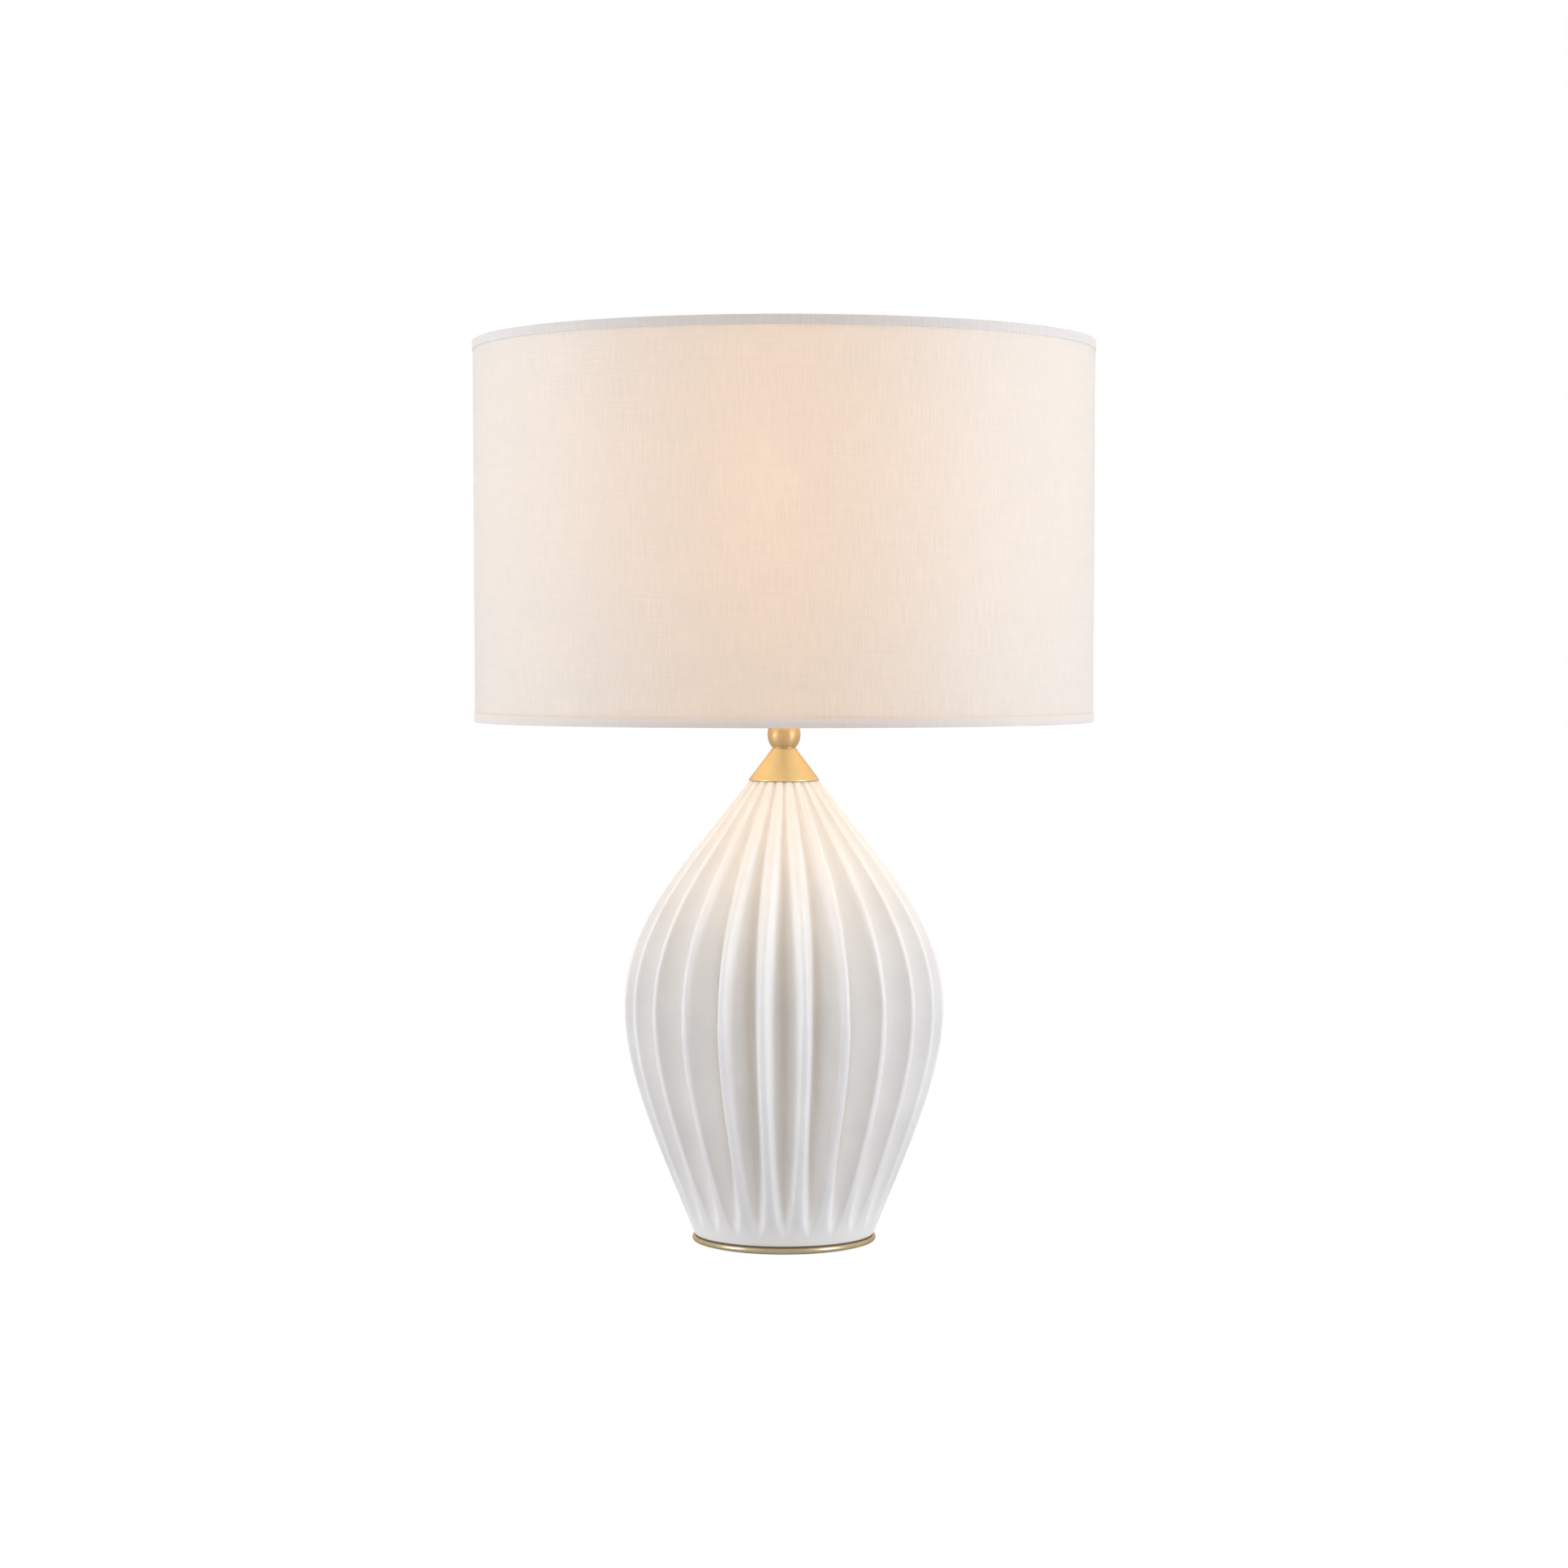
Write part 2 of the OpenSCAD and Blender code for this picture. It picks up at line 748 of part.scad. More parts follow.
// Screw cap of the bulb
bulb_cap_wall = 0.5;
module bulb_cap() {
    color("silver")
    translate([0, 0, bulb_cap_z])
    difference() {
        cylinder(d = bulb_cap_d, h = bulb_cap_h);
        translate([0, 0, bulb_cap_wall])
        cylinder(d = bulb_cap_d - 2 * bulb_cap_wall, h = bulb_cap_h);
    }
}

// White plastic housing, flared from the cap to the diffuser
bulb_shoulder_r = bulb_r - 1;
module bulb_housing() {
    plug_h = 6;
    plug_r = bulb_cap_d / 2 - bulb_cap_wall - slip_gap / 2;
    steps = 8;
    // The flare leaves the cap upright and reaches the shoulder upright
    function flare(t) = bulb_neck_r + (bulb_shoulder_r - bulb_neck_r) * (1 - cos(180 * t)) / 2;
    color("white")
    translate([0, 0, housing_z])
    rotate_extrude()
    polygon(concat(
        [[plug_r - bulb_wall, -plug_h], [plug_r, -plug_h], [plug_r, 0], [bulb_neck_r, 0]],
        [for (i = [1 : steps]) [flare(i / steps), housing_h * i / steps]],
        [for (i = [steps : -1 : 1]) [flare(i / steps) - bulb_wall, housing_h * i / steps]],
        [[plug_r - bulb_wall, 1]]
    ));
}

// Aluminium board that carries the light chips
board_t = 1.6;
board_r = bulb_shoulder_r - bulb_wall - slip_gap;
module light_board() {
    color("silver")
    translate([0, 0, board_z])
    cylinder(r = board_r, h = board_t);
}

module light_chips() {
    chip = 3;
    color("khaki")
    for (i = [0 : chip_count - 1])
        rotate(i * 360 / chip_count)
        translate([board_r * 0.6 - chip / 2, -chip / 2, board_z + board_t])
        cube([chip, chip, 0.8]);
}

// Opal diffuser: a part ball that closes the top of the bulb
module bulb_diffuser() {
    top_z = bulb_z + bulb_h;
    ball_centre = top_z - bulb_r;
    color("white")
    difference() {
        union() {
            translate([0, 0, ball_centre])
            sphere(r = bulb_r);
            translate([0, 0, board_z])
            cylinder(r1 = bulb_shoulder_r, r2 = bulb_r, h = ball_centre - board_z);
        }
        translate([0, 0, ball_centre])
        sphere(r = bulb_r - bulb_wall);
        translate([0, 0, board_z - 1])
        cylinder(r = bulb_shoulder_r - bulb_wall, h = ball_centre - board_z + 1);
        translate([0, 0, board_z - bulb_d])
        cylinder(r = bulb_d, h = bulb_d);
    }
}

// Ring that sits on the lampholder's seat
module fitter_ring() {
    color("white")
    washer(fitter_d, 2 * fitter_bore_r, fitter_t, seat_z);
}

// Wire hoops under the two hems
hoop_low_z = shade_z + hem_t + wire_d / 2;
hoop_top_z = shade_top - hem_t - wire_d / 2;
function hoop_r(z) = wall_r(z) - linen_t - liner_t - wire_d / 2;

module hoop(z) {
    rotate_extrude()
    translate([hoop_r(z), z])
    circle(d = wire_d);
}

module bottom_hoop() {
    color("silver")
    hoop(hoop_low_z);
}

module top_hoop() {
    color("silver")
    hoop(hoop_top_z);
}

// The wire arms, welded to the edge of the fitter ring and to the bottom hoop
arm_z = seat_z + fitter_t / 2;
arm_start_r = fitter_d / 2 - 1;
// The first arm points to the back, so that the front of the shade is free
module arm_places() {
    for (i = [0 : arm_count - 1])
        rotate(90 + i * 360 / arm_count)
        children();
}

// One arm along +X, thicker by grow, that slopes down from the ring to the hoop
module arm(grow = 0) {
    run = hoop_r(hoop_low_z) - arm_start_r;
    fall = arm_z - hoop_low_z;
    translate([arm_start_r, 0, arm_z])
    rotate([0, 90 + atan(fall / run), 0])
    cylinder(d = wire_d + 2 * grow, h = norm([run, fall]));
}

module fitter_arms() {
    color("silver")
    arm_places()
    arm();
}

// A skin of the shade's wall between two depths under the hem's outer face
module wall_skin(from, to) {
    z0 = shade_z + hem_t;
    z1 = shade_top - hem_t;
    rotate_extrude()
    polygon([
        [wall_r(z0) - to, z0],
        [wall_r(z0) - from, z0],
        [wall_r(z1) - from, z1],
        [wall_r(z1) - to, z1]
    ]);
}

module shade_linen() {
    color("antiquewhite")
    wall_skin(0, linen_t);
}

module shade_liner() {
    color("white")
    wall_skin(linen_t, linen_t + liner_t);
}

// Cloth folded over a rim and round its hoop; up is 1 at the bottom rim, -1 at the top
module hem(z, up) {
    deep = linen_t + liner_t + wire_d;
    out_z = z + up * hem_h;
    fold_z = z + up * hem_t;
    hoop_z = z + up * (hem_t + wire_d);
    end_z = hoop_z + up * hem_t;
    color("linen")
    rotate_extrude()
    polygon([
        [wall_r(z) + hem_t, z],
        [wall_r(out_z) + hem_t, out_z],
        [wall_r(out_z), out_z],
        [wall_r(fold_z), fold_z],
        [wall_r(fold_z) - deep, fold_z],
        [wall_r(hoop_z) - deep, hoop_z],
        [wall_r(hoop_z) - linen_t - liner_t, hoop_z],
        [wall_r(end_z) - linen_t - liner_t, end_z],
        [wall_r(end_z) - deep - hem_t, end_z],
        [wall_r(z) - deep - hem_t, z]
    ]);
}

// The bottom hem is notched where the arms reach the hoop
module bottom_hem() {
    difference() {
        hem(shade_z, 1);
        arm_places()
        arm(slip_gap);
    }
}

module top_hem() {
    hem(shade_top, -1);
}

felt_pad();
base_plate();
ballast_ring();
foot_ring();
porcelain_body();
cord_bushing();
stem();
clamp_washer();
spring_washer();
clamp_nut();
crown_ring();
centring_washer();
neck_cone();
neck_ball();
holder_cap();
holder_insulator();
terminal_screws();
centre_contact();
screw_shell();
holder_barrel();
switch_bar();
shade_ring();
bulb_tip();
bulb_glass();
bulb_cap();
bulb_housing();
light_board();
light_chips();
bulb_diffuser();
fitter_ring();
fitter_arms();
bottom_hoop();
top_hoop();
shade_liner();
shade_linen();
bottom_hem();
top_hem();
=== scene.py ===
"""Table lamp: a fluted porcelain body on a brass base, a brass neck and a linen drum shade, lit.

Every piece is dressed in the order in which the lamp is put together, from the felt up. Sizes are
in metres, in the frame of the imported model: the lamp stands on z = 0 and its back is at +y.
"""

import math

import bpy
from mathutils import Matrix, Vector


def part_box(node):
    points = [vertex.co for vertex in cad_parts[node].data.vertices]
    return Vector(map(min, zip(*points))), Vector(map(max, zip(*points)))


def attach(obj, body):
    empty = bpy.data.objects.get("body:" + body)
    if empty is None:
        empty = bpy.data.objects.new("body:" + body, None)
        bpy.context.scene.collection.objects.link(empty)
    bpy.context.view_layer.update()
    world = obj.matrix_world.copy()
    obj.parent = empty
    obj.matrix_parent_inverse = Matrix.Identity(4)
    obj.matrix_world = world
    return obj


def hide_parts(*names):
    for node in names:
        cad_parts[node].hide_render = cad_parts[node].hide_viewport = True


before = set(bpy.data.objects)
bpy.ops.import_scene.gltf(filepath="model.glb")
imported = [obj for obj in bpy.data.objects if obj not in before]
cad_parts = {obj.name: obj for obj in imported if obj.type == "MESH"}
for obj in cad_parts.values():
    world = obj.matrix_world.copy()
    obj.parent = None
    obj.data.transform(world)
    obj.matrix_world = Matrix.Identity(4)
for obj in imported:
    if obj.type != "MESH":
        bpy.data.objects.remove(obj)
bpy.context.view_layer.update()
scene = bpy.context.scene
mm = 0.001

# ---- The studio ----------------------------------------------------------------------------
# A plain pale table: a long lens a little above the middle of the lamp, white air all round,
# a matt floor, and one large soft panel on each side, so that the front is the quieter.
lens_back, lens_z, lens_dip = 2.2587, 0.3846, 2.209
camera = bpy.data.objects.new("camera", bpy.data.cameras.new("camera"))
camera.data.lens = 80
camera.data.sensor_width = 36
camera.location = (0, -lens_back, lens_z)
camera.rotation_euler = (math.radians(90 - lens_dip), 0, 0)
scene.collection.objects.link(camera)
scene.camera = camera
scene.view_settings.view_transform = "Standard"


def put(tree, kind, feed=None, **settings):
    """Adds a node. feed gives its inputs a number, a colour or another node's output."""
    node = tree.nodes.new(kind)
    for key, value in settings.items():
        setattr(node, key, value)
    for key, value in (feed or {}).items():
        if isinstance(value, bpy.types.NodeSocket):
            tree.links.new(value, node.inputs[key])
        else:
            node.inputs[key].default_value = value
    return node


def reckon(tree, operation, *terms, clamp=False):
    """The output of one Math node."""
    feed = dict(enumerate(terms))
    return put(tree, "ShaderNodeMath", feed, operation=operation, use_clamp=clamp).outputs[0]


def seen_directly(tree, mirrored):
    """1 for a ray from the lens or through glass, and mirrored for its mirror image in metal."""
    path = put(tree, "ShaderNodeLightPath").outputs
    seen = reckon(tree, "MAXIMUM", path["Is Camera Ray"], path["Is Transmission Ray"])
    return reckon(tree, "MAXIMUM", seen, reckon(tree, "MULTIPLY", path["Is Glossy Ray"], mirrored))


air_level = 1.05
side_air, front_air = (1, 0.955, 0.91, 1), (0.2, 0.15, 0.1, 1)
world = bpy.data.worlds.new("white_air")
world.use_nodes = True
scene.world = world
air = world.node_tree
air.nodes.clear()
way = put(air, "ShaderNodeSeparateXYZ", {0: put(air, "ShaderNodeTexCoord").outputs["Generated"]}).outputs
flat_way = reckon(air, "ADD", reckon(air, "POWER", way["X"], 2), reckon(air, "POWER", way["Y"], 2))
flat_way = reckon(air, "SQRT", flat_way)
toward_front = reckon(air, "DIVIDE", reckon(air, "MULTIPLY", way["Y"], -1), flat_way, clamp=True)
front = reckon(air, "POWER", toward_front, 5)
around = put(air, "ShaderNodeMix", {0: front}, data_type="RGBA")
around.inputs[6].default_value, around.inputs[7].default_value = side_air, front_air
soft = put(air, "ShaderNodeBackground", {"Color": around.outputs[2], "Strength": air_level})
white = put(air, "ShaderNodeBackground", {"Color": (1, 1, 1, 1), "Strength": 1})
shown_white = seen_directly(air, mirrored=0.7)
both = put(air, "ShaderNodeMixShader", {0: shown_white, 1: soft.outputs[0], 2: white.outputs[0]})
put(air, "ShaderNodeOutputWorld", {"Surface": both.outputs[0]})

panel_away, panel_z, panel_w, panel_h = 1.76, 0.62, 0.8, 1.4
panel_colour = (0.78, 0.87, 1)
lamp_mid = Vector((0, 0, 0.28))
for where, bearing, brightness in (("left", math.radians(-68), 4.0), ("right", math.radians(60), 4.6)):
    panel = bpy.data.objects.new(f"{where}_panel", bpy.data.lights.new(f"{where}_panel", "AREA"))
    panel.data.shape = "RECTANGLE"
    panel.data.size, panel.data.size_y = panel_w, panel_h
    panel.data.energy = brightness * math.pi * panel.data.size * panel.data.size_y
    panel.data.color = panel_colour
    panel.location = (panel_away * math.sin(bearing), -panel_away * math.cos(bearing), panel_z)
    aim = lamp_mid - panel.location
    panel.rotation_euler = aim.to_track_quat("-Z", "Y").to_euler()
    panel.visible_camera = False
    scene.collection.objects.link(panel)

floor_mesh = bpy.data.meshes.new("floor")
floor_r, floor_sides = 6.0, 96
floor_turns = [2 * math.pi * k / floor_sides for k in range(floor_sides)]
floor_mesh.from_pydata([(floor_r * math.cos(a), floor_r * math.sin(a), 0) for a in floor_turns],
                       [], [list(range(floor_sides))])
floor = bpy.data.objects.new("floor", floor_mesh)
scene.collection.objects.link(floor)
pale = bpy.data.materials.new("pale_floor")
pale.use_nodes = True
tree = pale.node_tree
tree.nodes.clear()
place = put(tree, "ShaderNodeTexCoord").outputs["Object"]
grain = put(tree, "ShaderNodeTexNoise", {"Vector": place, "Scale": 9, "Detail": 3})
greys = put(tree, "ShaderNodeMapRange", {"Value": grain.outputs[0], "To Min": 0.75, "To Max": 0.79})
matt = put(tree, "ShaderNodeBsdfDiffuse", {"Color": greys.outputs[0]})
# The lens sees the floor nearly white, with the rest left over for the lamp's shadow
floor_white, white_share = 1.07, 0.88
glow = put(tree, "ShaderNodeEmission", {"Color": (1, 1, 1, 1), "Strength": floor_white})
shown_white = reckon(tree, "MULTIPLY", seen_directly(tree, mirrored=0.3), white_share)
mixed = put(tree, "ShaderNodeMixShader", {0: shown_white, 1: matt.outputs[0], 2: glow.outputs[0]})
put(tree, "ShaderNodeOutputMaterial", {"Surface": mixed.outputs[0]})
floor_mesh.materials.append(pale)

# ---- Felt pad ------------------------------------------------------------------------------
# A disc of pressed wool felt under the base, glued into its seat in the brass plate. It takes
# the weight of the lamp and keeps the table from being scratched.


def finish(name, colour, roughness, **constants):
    """A new finish: its node tree, its shader and its place in metres; constants are sockets."""
    material = bpy.data.materials.new(name)
    material.use_nodes = True
    tree = material.node_tree
    shader = tree.nodes["Principled BSDF"]
    shader.inputs["Base Color"].default_value = (*colour, 1)
    shader.inputs["Roughness"].default_value = roughness
    for socket, value in constants.items():
        shader.inputs[socket.replace("_", " ")].default_value = value
    place = put(tree, "ShaderNodeTexCoord").outputs["Object"]
    return material, tree, shader, place


def cloud(tree, place, size, low=0.0, high=1.0, detail=2.0, roughness=0.5):
    """Noise with features about size across, spread between low and high."""
    noise = put(tree, "ShaderNodeTexNoise",
                {"Vector": place, "Scale": 1 / size, "Detail": detail, "Roughness": roughness})
    spread = put(tree, "ShaderNodeMapRange",
                 {"Value": noise.outputs[0], "From Min": 0.3, "From Max": 0.7,
                  "To Min": low, "To Max": high})
    return spread.outputs[0]


def tint(tree, factor, one, two):
    """A colour between one and two."""
    mix = put(tree, "ShaderNodeMix", data_type="RGBA")
    tree.links.new(factor, mix.inputs["Factor"])
    for socket, value in ((mix.inputs[6], one), (mix.inputs[7], two)):
        if isinstance(value, bpy.types.NodeSocket):
            tree.links.new(value, socket)
        else:
            socket.default_value = (*value, 1)
    return mix.outputs[2]


def relief(tree, shader, height, depth, below=None):
    """Raises the surface by height times depth, on top of the relief below."""
    bump = put(tree, "ShaderNodeBump", {"Height": height, "Distance": depth, "Strength": 1})
    if below is not None:
        tree.links.new(below, bump.inputs["Normal"])
    tree.links.new(bump.outputs[0], shader.inputs["Normal"])
    return bump.outputs[0]


def dress(node, material):
    """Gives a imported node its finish."""
    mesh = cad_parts[node].data
    mesh.materials.clear()
    mesh.materials.append(material)


felt, tree, shader, place = finish("wool_felt", (0.03, 0.035, 0.03), 0.95,
                                   Sheen_Weight=0.5, Sheen_Roughness=0.6)
fibre = cloud(tree, place, 0.5 * mm, detail=5, roughness=0.7)
tree.links.new(tint(tree, fibre, (0.022, 0.028, 0.024), (0.05, 0.058, 0.05)), shader.inputs["Base Color"])
relief(tree, shader, fibre, 0.25 * mm)
dress("felt_pad", felt)

# ---- Base plate ----------------------------------------------------------------------------
# A spun plate of aged brass, satin brushed round and round on the lathe and lacquered. Its
# rounded edge shows under the foot, and its raised cup holds the clamp nut.


def round_the_axis(tree, place):
    """Radius, angle and height of a point on a turned piece."""
    part = put(tree, "ShaderNodeSeparateXYZ", {0: place}).outputs
    x, y = part["X"], part["Y"]
    squares = reckon(tree, "ADD", reckon(tree, "MULTIPLY", x, x), reckon(tree, "MULTIPLY", y, y))
    radius = reckon(tree, "SQRT", squares)
    angle = reckon(tree, "ARCTAN2", x, reckon(tree, "MULTIPLY", y, -1))
    return radius, angle, part["Z"]


def gathered(tree, x, y, z):
    """Three numbers as one place."""
    return put(tree, "ShaderNodeCombineXYZ", {0: x, 1: y, 2: z}).outputs[0]


def rising(tree, height, start, end, most=1.0):
    """0 at height start and most at height end, evenly between them; end may be the lower one."""
    return put(tree, "ShaderNodeMapRange",
               {"Value": height, "From Min": start, "From Max": end, "To Max": most}).outputs[0]


def brushed_brass(name, bright, deep, roughness, lacquer, gloss=0.28, shaded_span=None):
    """Brass with fine turned lines that break up along each stroke, and a little tarnish; painted
    shade can darken it from the upper to the lower of two given heights."""
    line_w, stroke, turn_length = 0.2 * mm, 14 * mm, 20 * mm
    material, tree, shader, place = finish(
        name, bright, roughness, Metallic=1.0, Anisotropic=0.6, Anisotropic_Rotation=0.25,
        Specular_Tint=(0.75, 0.6, 0.4, 1), Coat_Weight=lacquer, Coat_Roughness=gloss, Coat_IOR=1.8)
    radius, angle, height = round_the_axis(tree, place)
    way_round = reckon(tree, "MULTIPLY", angle, turn_length)
    drawn_out = reckon(tree, "MULTIPLY", way_round, line_w / stroke)
    lines = cloud(tree, gathered(tree, radius, drawn_out, height), line_w, detail=3)
    tarnish = cloud(tree, place, 9 * mm, detail=4)
    worn = reckon(tree, "MULTIPLY_ADD", lines, 0.35, reckon(tree, "MULTIPLY", tarnish, 0.65))
    metal = tint(tree, worn, deep, bright)
    # Painted shade: darker from the upper of the two heights down to the lower
    if shaded_span:
        low, high = shaded_span
        darkest_shade = tuple(c * 0.45 for c in deep)
        metal = tint(tree, rising(tree, height, high, low, most=0.45), metal, darkest_shade)
    tree.links.new(metal, shader.inputs["Base Color"])
    tree.links.new(reckon(tree, "MULTIPLY_ADD", lines, 0.1, roughness - 0.05), shader.inputs["Roughness"])
    relief(tree, shader, lines, 0.006 * mm)
    tangent = put(tree, "ShaderNodeTangent", direction_type="RADIAL", axis="Z")
    tree.links.new(tangent.outputs[0], shader.inputs["Tangent"])
    return material


dress("base_plate", brushed_brass("aged_brass", (0.54, 0.445, 0.28), (0.43, 0.35, 0.21), 0.3, lacquer=0.25))

# ---- Ballast ring --------------------------------------------------------------------------
# A ring of grey cast iron that lies on the plate inside the foot and keeps the lamp from
# tipping. It is left as it came from the sand, under a thin coat of black paint.
cast_iron, tree, shader, place = finish("cast_iron", (0.06, 0.06, 0.065), 0.7, Metallic=0.6)
sand = cloud(tree, place, 1.2 * mm, detail=6, roughness=0.65)
tree.links.new(tint(tree, sand, (0.035, 0.035, 0.04), (0.1, 0.1, 0.105)), shader.inputs["Base Color"])
tree.links.new(reckon(tree, "MULTIPLY_ADD", sand, 0.25, 0.55), shader.inputs["Roughness"])
relief(tree, shader, sand, 0.3 * mm)
dress("ballast_ring", cast_iron)

# ---- Foot ring -----------------------------------------------------------------------------
# A thin ring of brown rubber that beds the porcelain on the brass, set back a little, so that
# a dark line shows between the two.


def rubber(name, colour):
    """Matt rubber with the fine grain of its mould."""
    material, tree, shader, place = finish(name, colour, 0.75, Sheen_Weight=0.15)
    grain = cloud(tree, place, 0.4 * mm, detail=3)
    lighter = tuple(min(1, c * 1.25) for c in colour)
    tree.links.new(tint(tree, grain, colour, lighter), shader.inputs["Base Color"])
    relief(tree, shader, grain, 0.04 * mm)
    return material


dress("foot_ring", rubber("brown_rubber", (0.19, 0.16, 0.115)))

# ---- Porcelain body ------------------------------------------------------------------------
# Slip-cast porcelain with twenty-four deep flutes between narrow flat-topped ribs, under a thin
# satin glaze. Its colour is painted paler in the flutes and darker on the ribs: painted light.
foot_r, belly_r, neck_r = 58.25 * mm, 104 * mm, 22.7 * mm
foot_z, neck_z = (corner.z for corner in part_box("porcelain_body"))
belly_z = foot_z + 148.5 * mm
flute_z = foot_z + 6 * mm
flutes = 24
flute_deep, flute_deep_neck = 24 * mm, 2 * mm
rib_w, rib_w_neck, rib_run = 3.7 * mm, 2.8 * mm, 4.6 * mm
wall = 4.5 * mm
rib_share = rib_w * flutes / (2 * math.pi * belly_r)
rib_share_neck = rib_w_neck * flutes / (2 * math.pi * neck_r)
rib_edge, rib_edge_foot, foot_blur = 0.045, 0.4, 45 * mm
flank_steps, rib_steps = 12, 6
flute_light_depth, foot_ease = 3 * mm, 0.12 * mm


def bent(points, t):
    """A point on the curve that four points steer."""
    a, b, c, d = points
    return a * (1 - t) ** 3 + b * 3 * t * (1 - t) ** 2 + c * 3 * (1 - t) * t ** 2 + d * t ** 3


foot_lean, neck_lean = math.radians(22.5), math.radians(37.5)
foot_pull, belly_pull_down, belly_pull_up, neck_pull = 70 * mm, 41 * mm, 58.5 * mm, 66 * mm
lower = [Vector((foot_r, foot_z)),
         Vector((foot_r + foot_pull * math.sin(foot_lean), foot_z + foot_pull * math.cos(foot_lean))),
         Vector((belly_r, belly_z - belly_pull_down)), Vector((belly_r, belly_z))]
upper = [Vector((belly_r, belly_z)), Vector((belly_r, belly_z + belly_pull_up)),
         Vector((neck_r + neck_pull * math.sin(neck_lean), neck_z - neck_pull * math.cos(neck_lean))),
         Vector((neck_r, neck_z))]
lower_rings, upper_rings = 64, 66
outline = [bent(lower, (i / lower_rings) ** 1.4) for i in range(lower_rings)]
outline += [bent(upper, i / upper_rings) for i in range(upper_rings + 1)]


def flute_depth(r, z):
    """Depth of a flute at height z, where the ribs have radius r."""
    if z < belly_z:
        return flute_deep * r / belly_r * (1 - (1 - max(0, z - flute_z) / (belly_z - flute_z)) ** 3)
    rise = ((z - belly_z) / (neck_z - belly_z)) ** 1.3
    return flute_deep * r / belly_r * (1 - rise) + flute_deep_neck * rise * r / neck_r


def rib_at(z):
    """Share of a pitch that the rib's flat top takes at height z."""
    if z < belly_z:
        return min(0.8, rib_share + (1 - rib_share) * rib_run / (rib_run + max(0, z - flute_z)))
    return rib_share + (rib_share_neck - rib_share) * ((z - belly_z) / (neck_z - belly_z)) ** 3


def across_a_pitch(rib, z):
    """Places across one pitch, from the bottom of one flute to the next, as [share, depth share]."""
    edge = rib_edge + (rib_edge_foot - rib_edge) * max(0, 1 - (z - foot_z) / foot_blur) ** 2
    flank = [(1 - j / flank_steps) ** 1.5 for j in range(flank_steps)]
    half = 0.5 - rib / 2
    shares = [half * (1 - t) for t in flank]
    shares += [half + rib * j / rib_steps for j in range(rib_steps + 1)]
    shares += [1 - half * (1 - t) for t in reversed(flank[1:])]
    places = []
    for share in shares:
        t = (abs(share - 0.5) - rib / 2) / half
        t = min(1, (t + math.sqrt(t * t + edge ** 2)) / 2)
        places.append((share, math.sin(t * math.pi / 2)))
    return places


def ring(r, z, fluted=True):
    """One ring of the body's surface."""
    rib, deep = rib_at(z), flute_depth(r, z) if fluted else 0
    points = []
    for i in range(flutes):
        for share, depth in across_a_pitch(rib, z):
            a = (i + share) * 2 * math.pi / flutes
            points.append(((r - deep * depth) * math.sin(a), -(r - deep * depth) * math.cos(a), z))
            flute_share.append(depth * min(1, deep / flute_light_depth) if fluted else 0)
    return points


def grid(name, rings, closed=True):
    """A mesh of rings that close on themselves, joined in order and, if closed, last to first."""
    count, around = len(rings), len(rings[0])
    faces = []
    for i in range(count if closed else count - 1):
        j = (i + 1) % count
        for k in range(around):
            n = (k + 1) % around
            faces.append((i * around + k, i * around + n, j * around + n, j * around + k))
    mesh = bpy.data.meshes.new(name)
    mesh.from_pydata([p for r in rings for p in r], [], faces)
    return mesh


def piece(mesh, material, body, node, crease=None):
    """A finished piece on its body, in the place of its node."""
    made = bpy.data.objects.new(mesh.name, mesh)
    scene.collection.objects.link(made)
    mesh.materials.append(material)
    mesh.polygons.foreach_set("use_smooth", [True] * len(mesh.polygons))
    if crease:
        mesh.set_sharp_from_angle(angle=math.radians(crease))
    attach(made, body)
    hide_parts(node)
    return made


def bored(target, *cutters):
    """Takes each cutter out of target."""
    for cutter in cutters:
        cut = target.modifiers.new("cut", "BOOLEAN")
        cut.operation, cut.solver, cut.object = "DIFFERENCE", "MANIFOLD", cutter
    ready = target.evaluated_get(bpy.context.evaluated_depsgraph_get())
    mesh = bpy.data.meshes.new_from_object(ready)
    target.modifiers.clear()
    name, old = target.data.name, target.data
    target.data = mesh
    bpy.data.meshes.remove(old)
    mesh.name = name
    for cutter in cutters:
        bpy.data.meshes.remove(cutter.data)


def rod(start, end, r, sides=48):
    """A plain rod between two points, to cut with."""
    axis = (end - start).normalized()
    side = axis.orthogonal().normalized()
    other = axis.cross(side)
    turns = [2 * math.pi * k / sides for k in range(sides)]
    points = [centre + r * (side * math.cos(a) + other * math.sin(a))
              for centre in (start, end) for a in turns]
    faces = [(k, (k + 1) % sides, sides + (k + 1) % sides, sides + k) for k in range(sides)]
    faces += [tuple(reversed(range(sides))), tuple(range(sides, 2 * sides))]
    mesh = bpy.data.meshes.new("cutter")
    mesh.from_pydata(points, [], faces)
    made = bpy.data.objects.new("cutter", mesh)
    scene.collection.objects.link(made)
    return made


flute_share = []
rings = []
for drop in (1, 0.8, 0.6, 0.4, 0.2):
    a = drop * math.pi / 2
    rings.append(ring(foot_r - foot_ease * (1 - math.cos(a)), foot_z + foot_ease * (1 - math.sin(a))))
rings += [ring(p.x, p.y) for p in outline if p.y > foot_z + foot_ease]
inside = [p for i, p in enumerate(outline) if i % 6 == 0]
rings += [ring(p.x - flute_depth(p.x, p.y) - wall, p.y, fluted=False) for p in reversed(inside)]
porcelain_mesh = grid("porcelain", rings)
shares = porcelain_mesh.attributes.new("flute_share", "FLOAT", "POINT")
shares.data.foreach_set("value", flute_share)

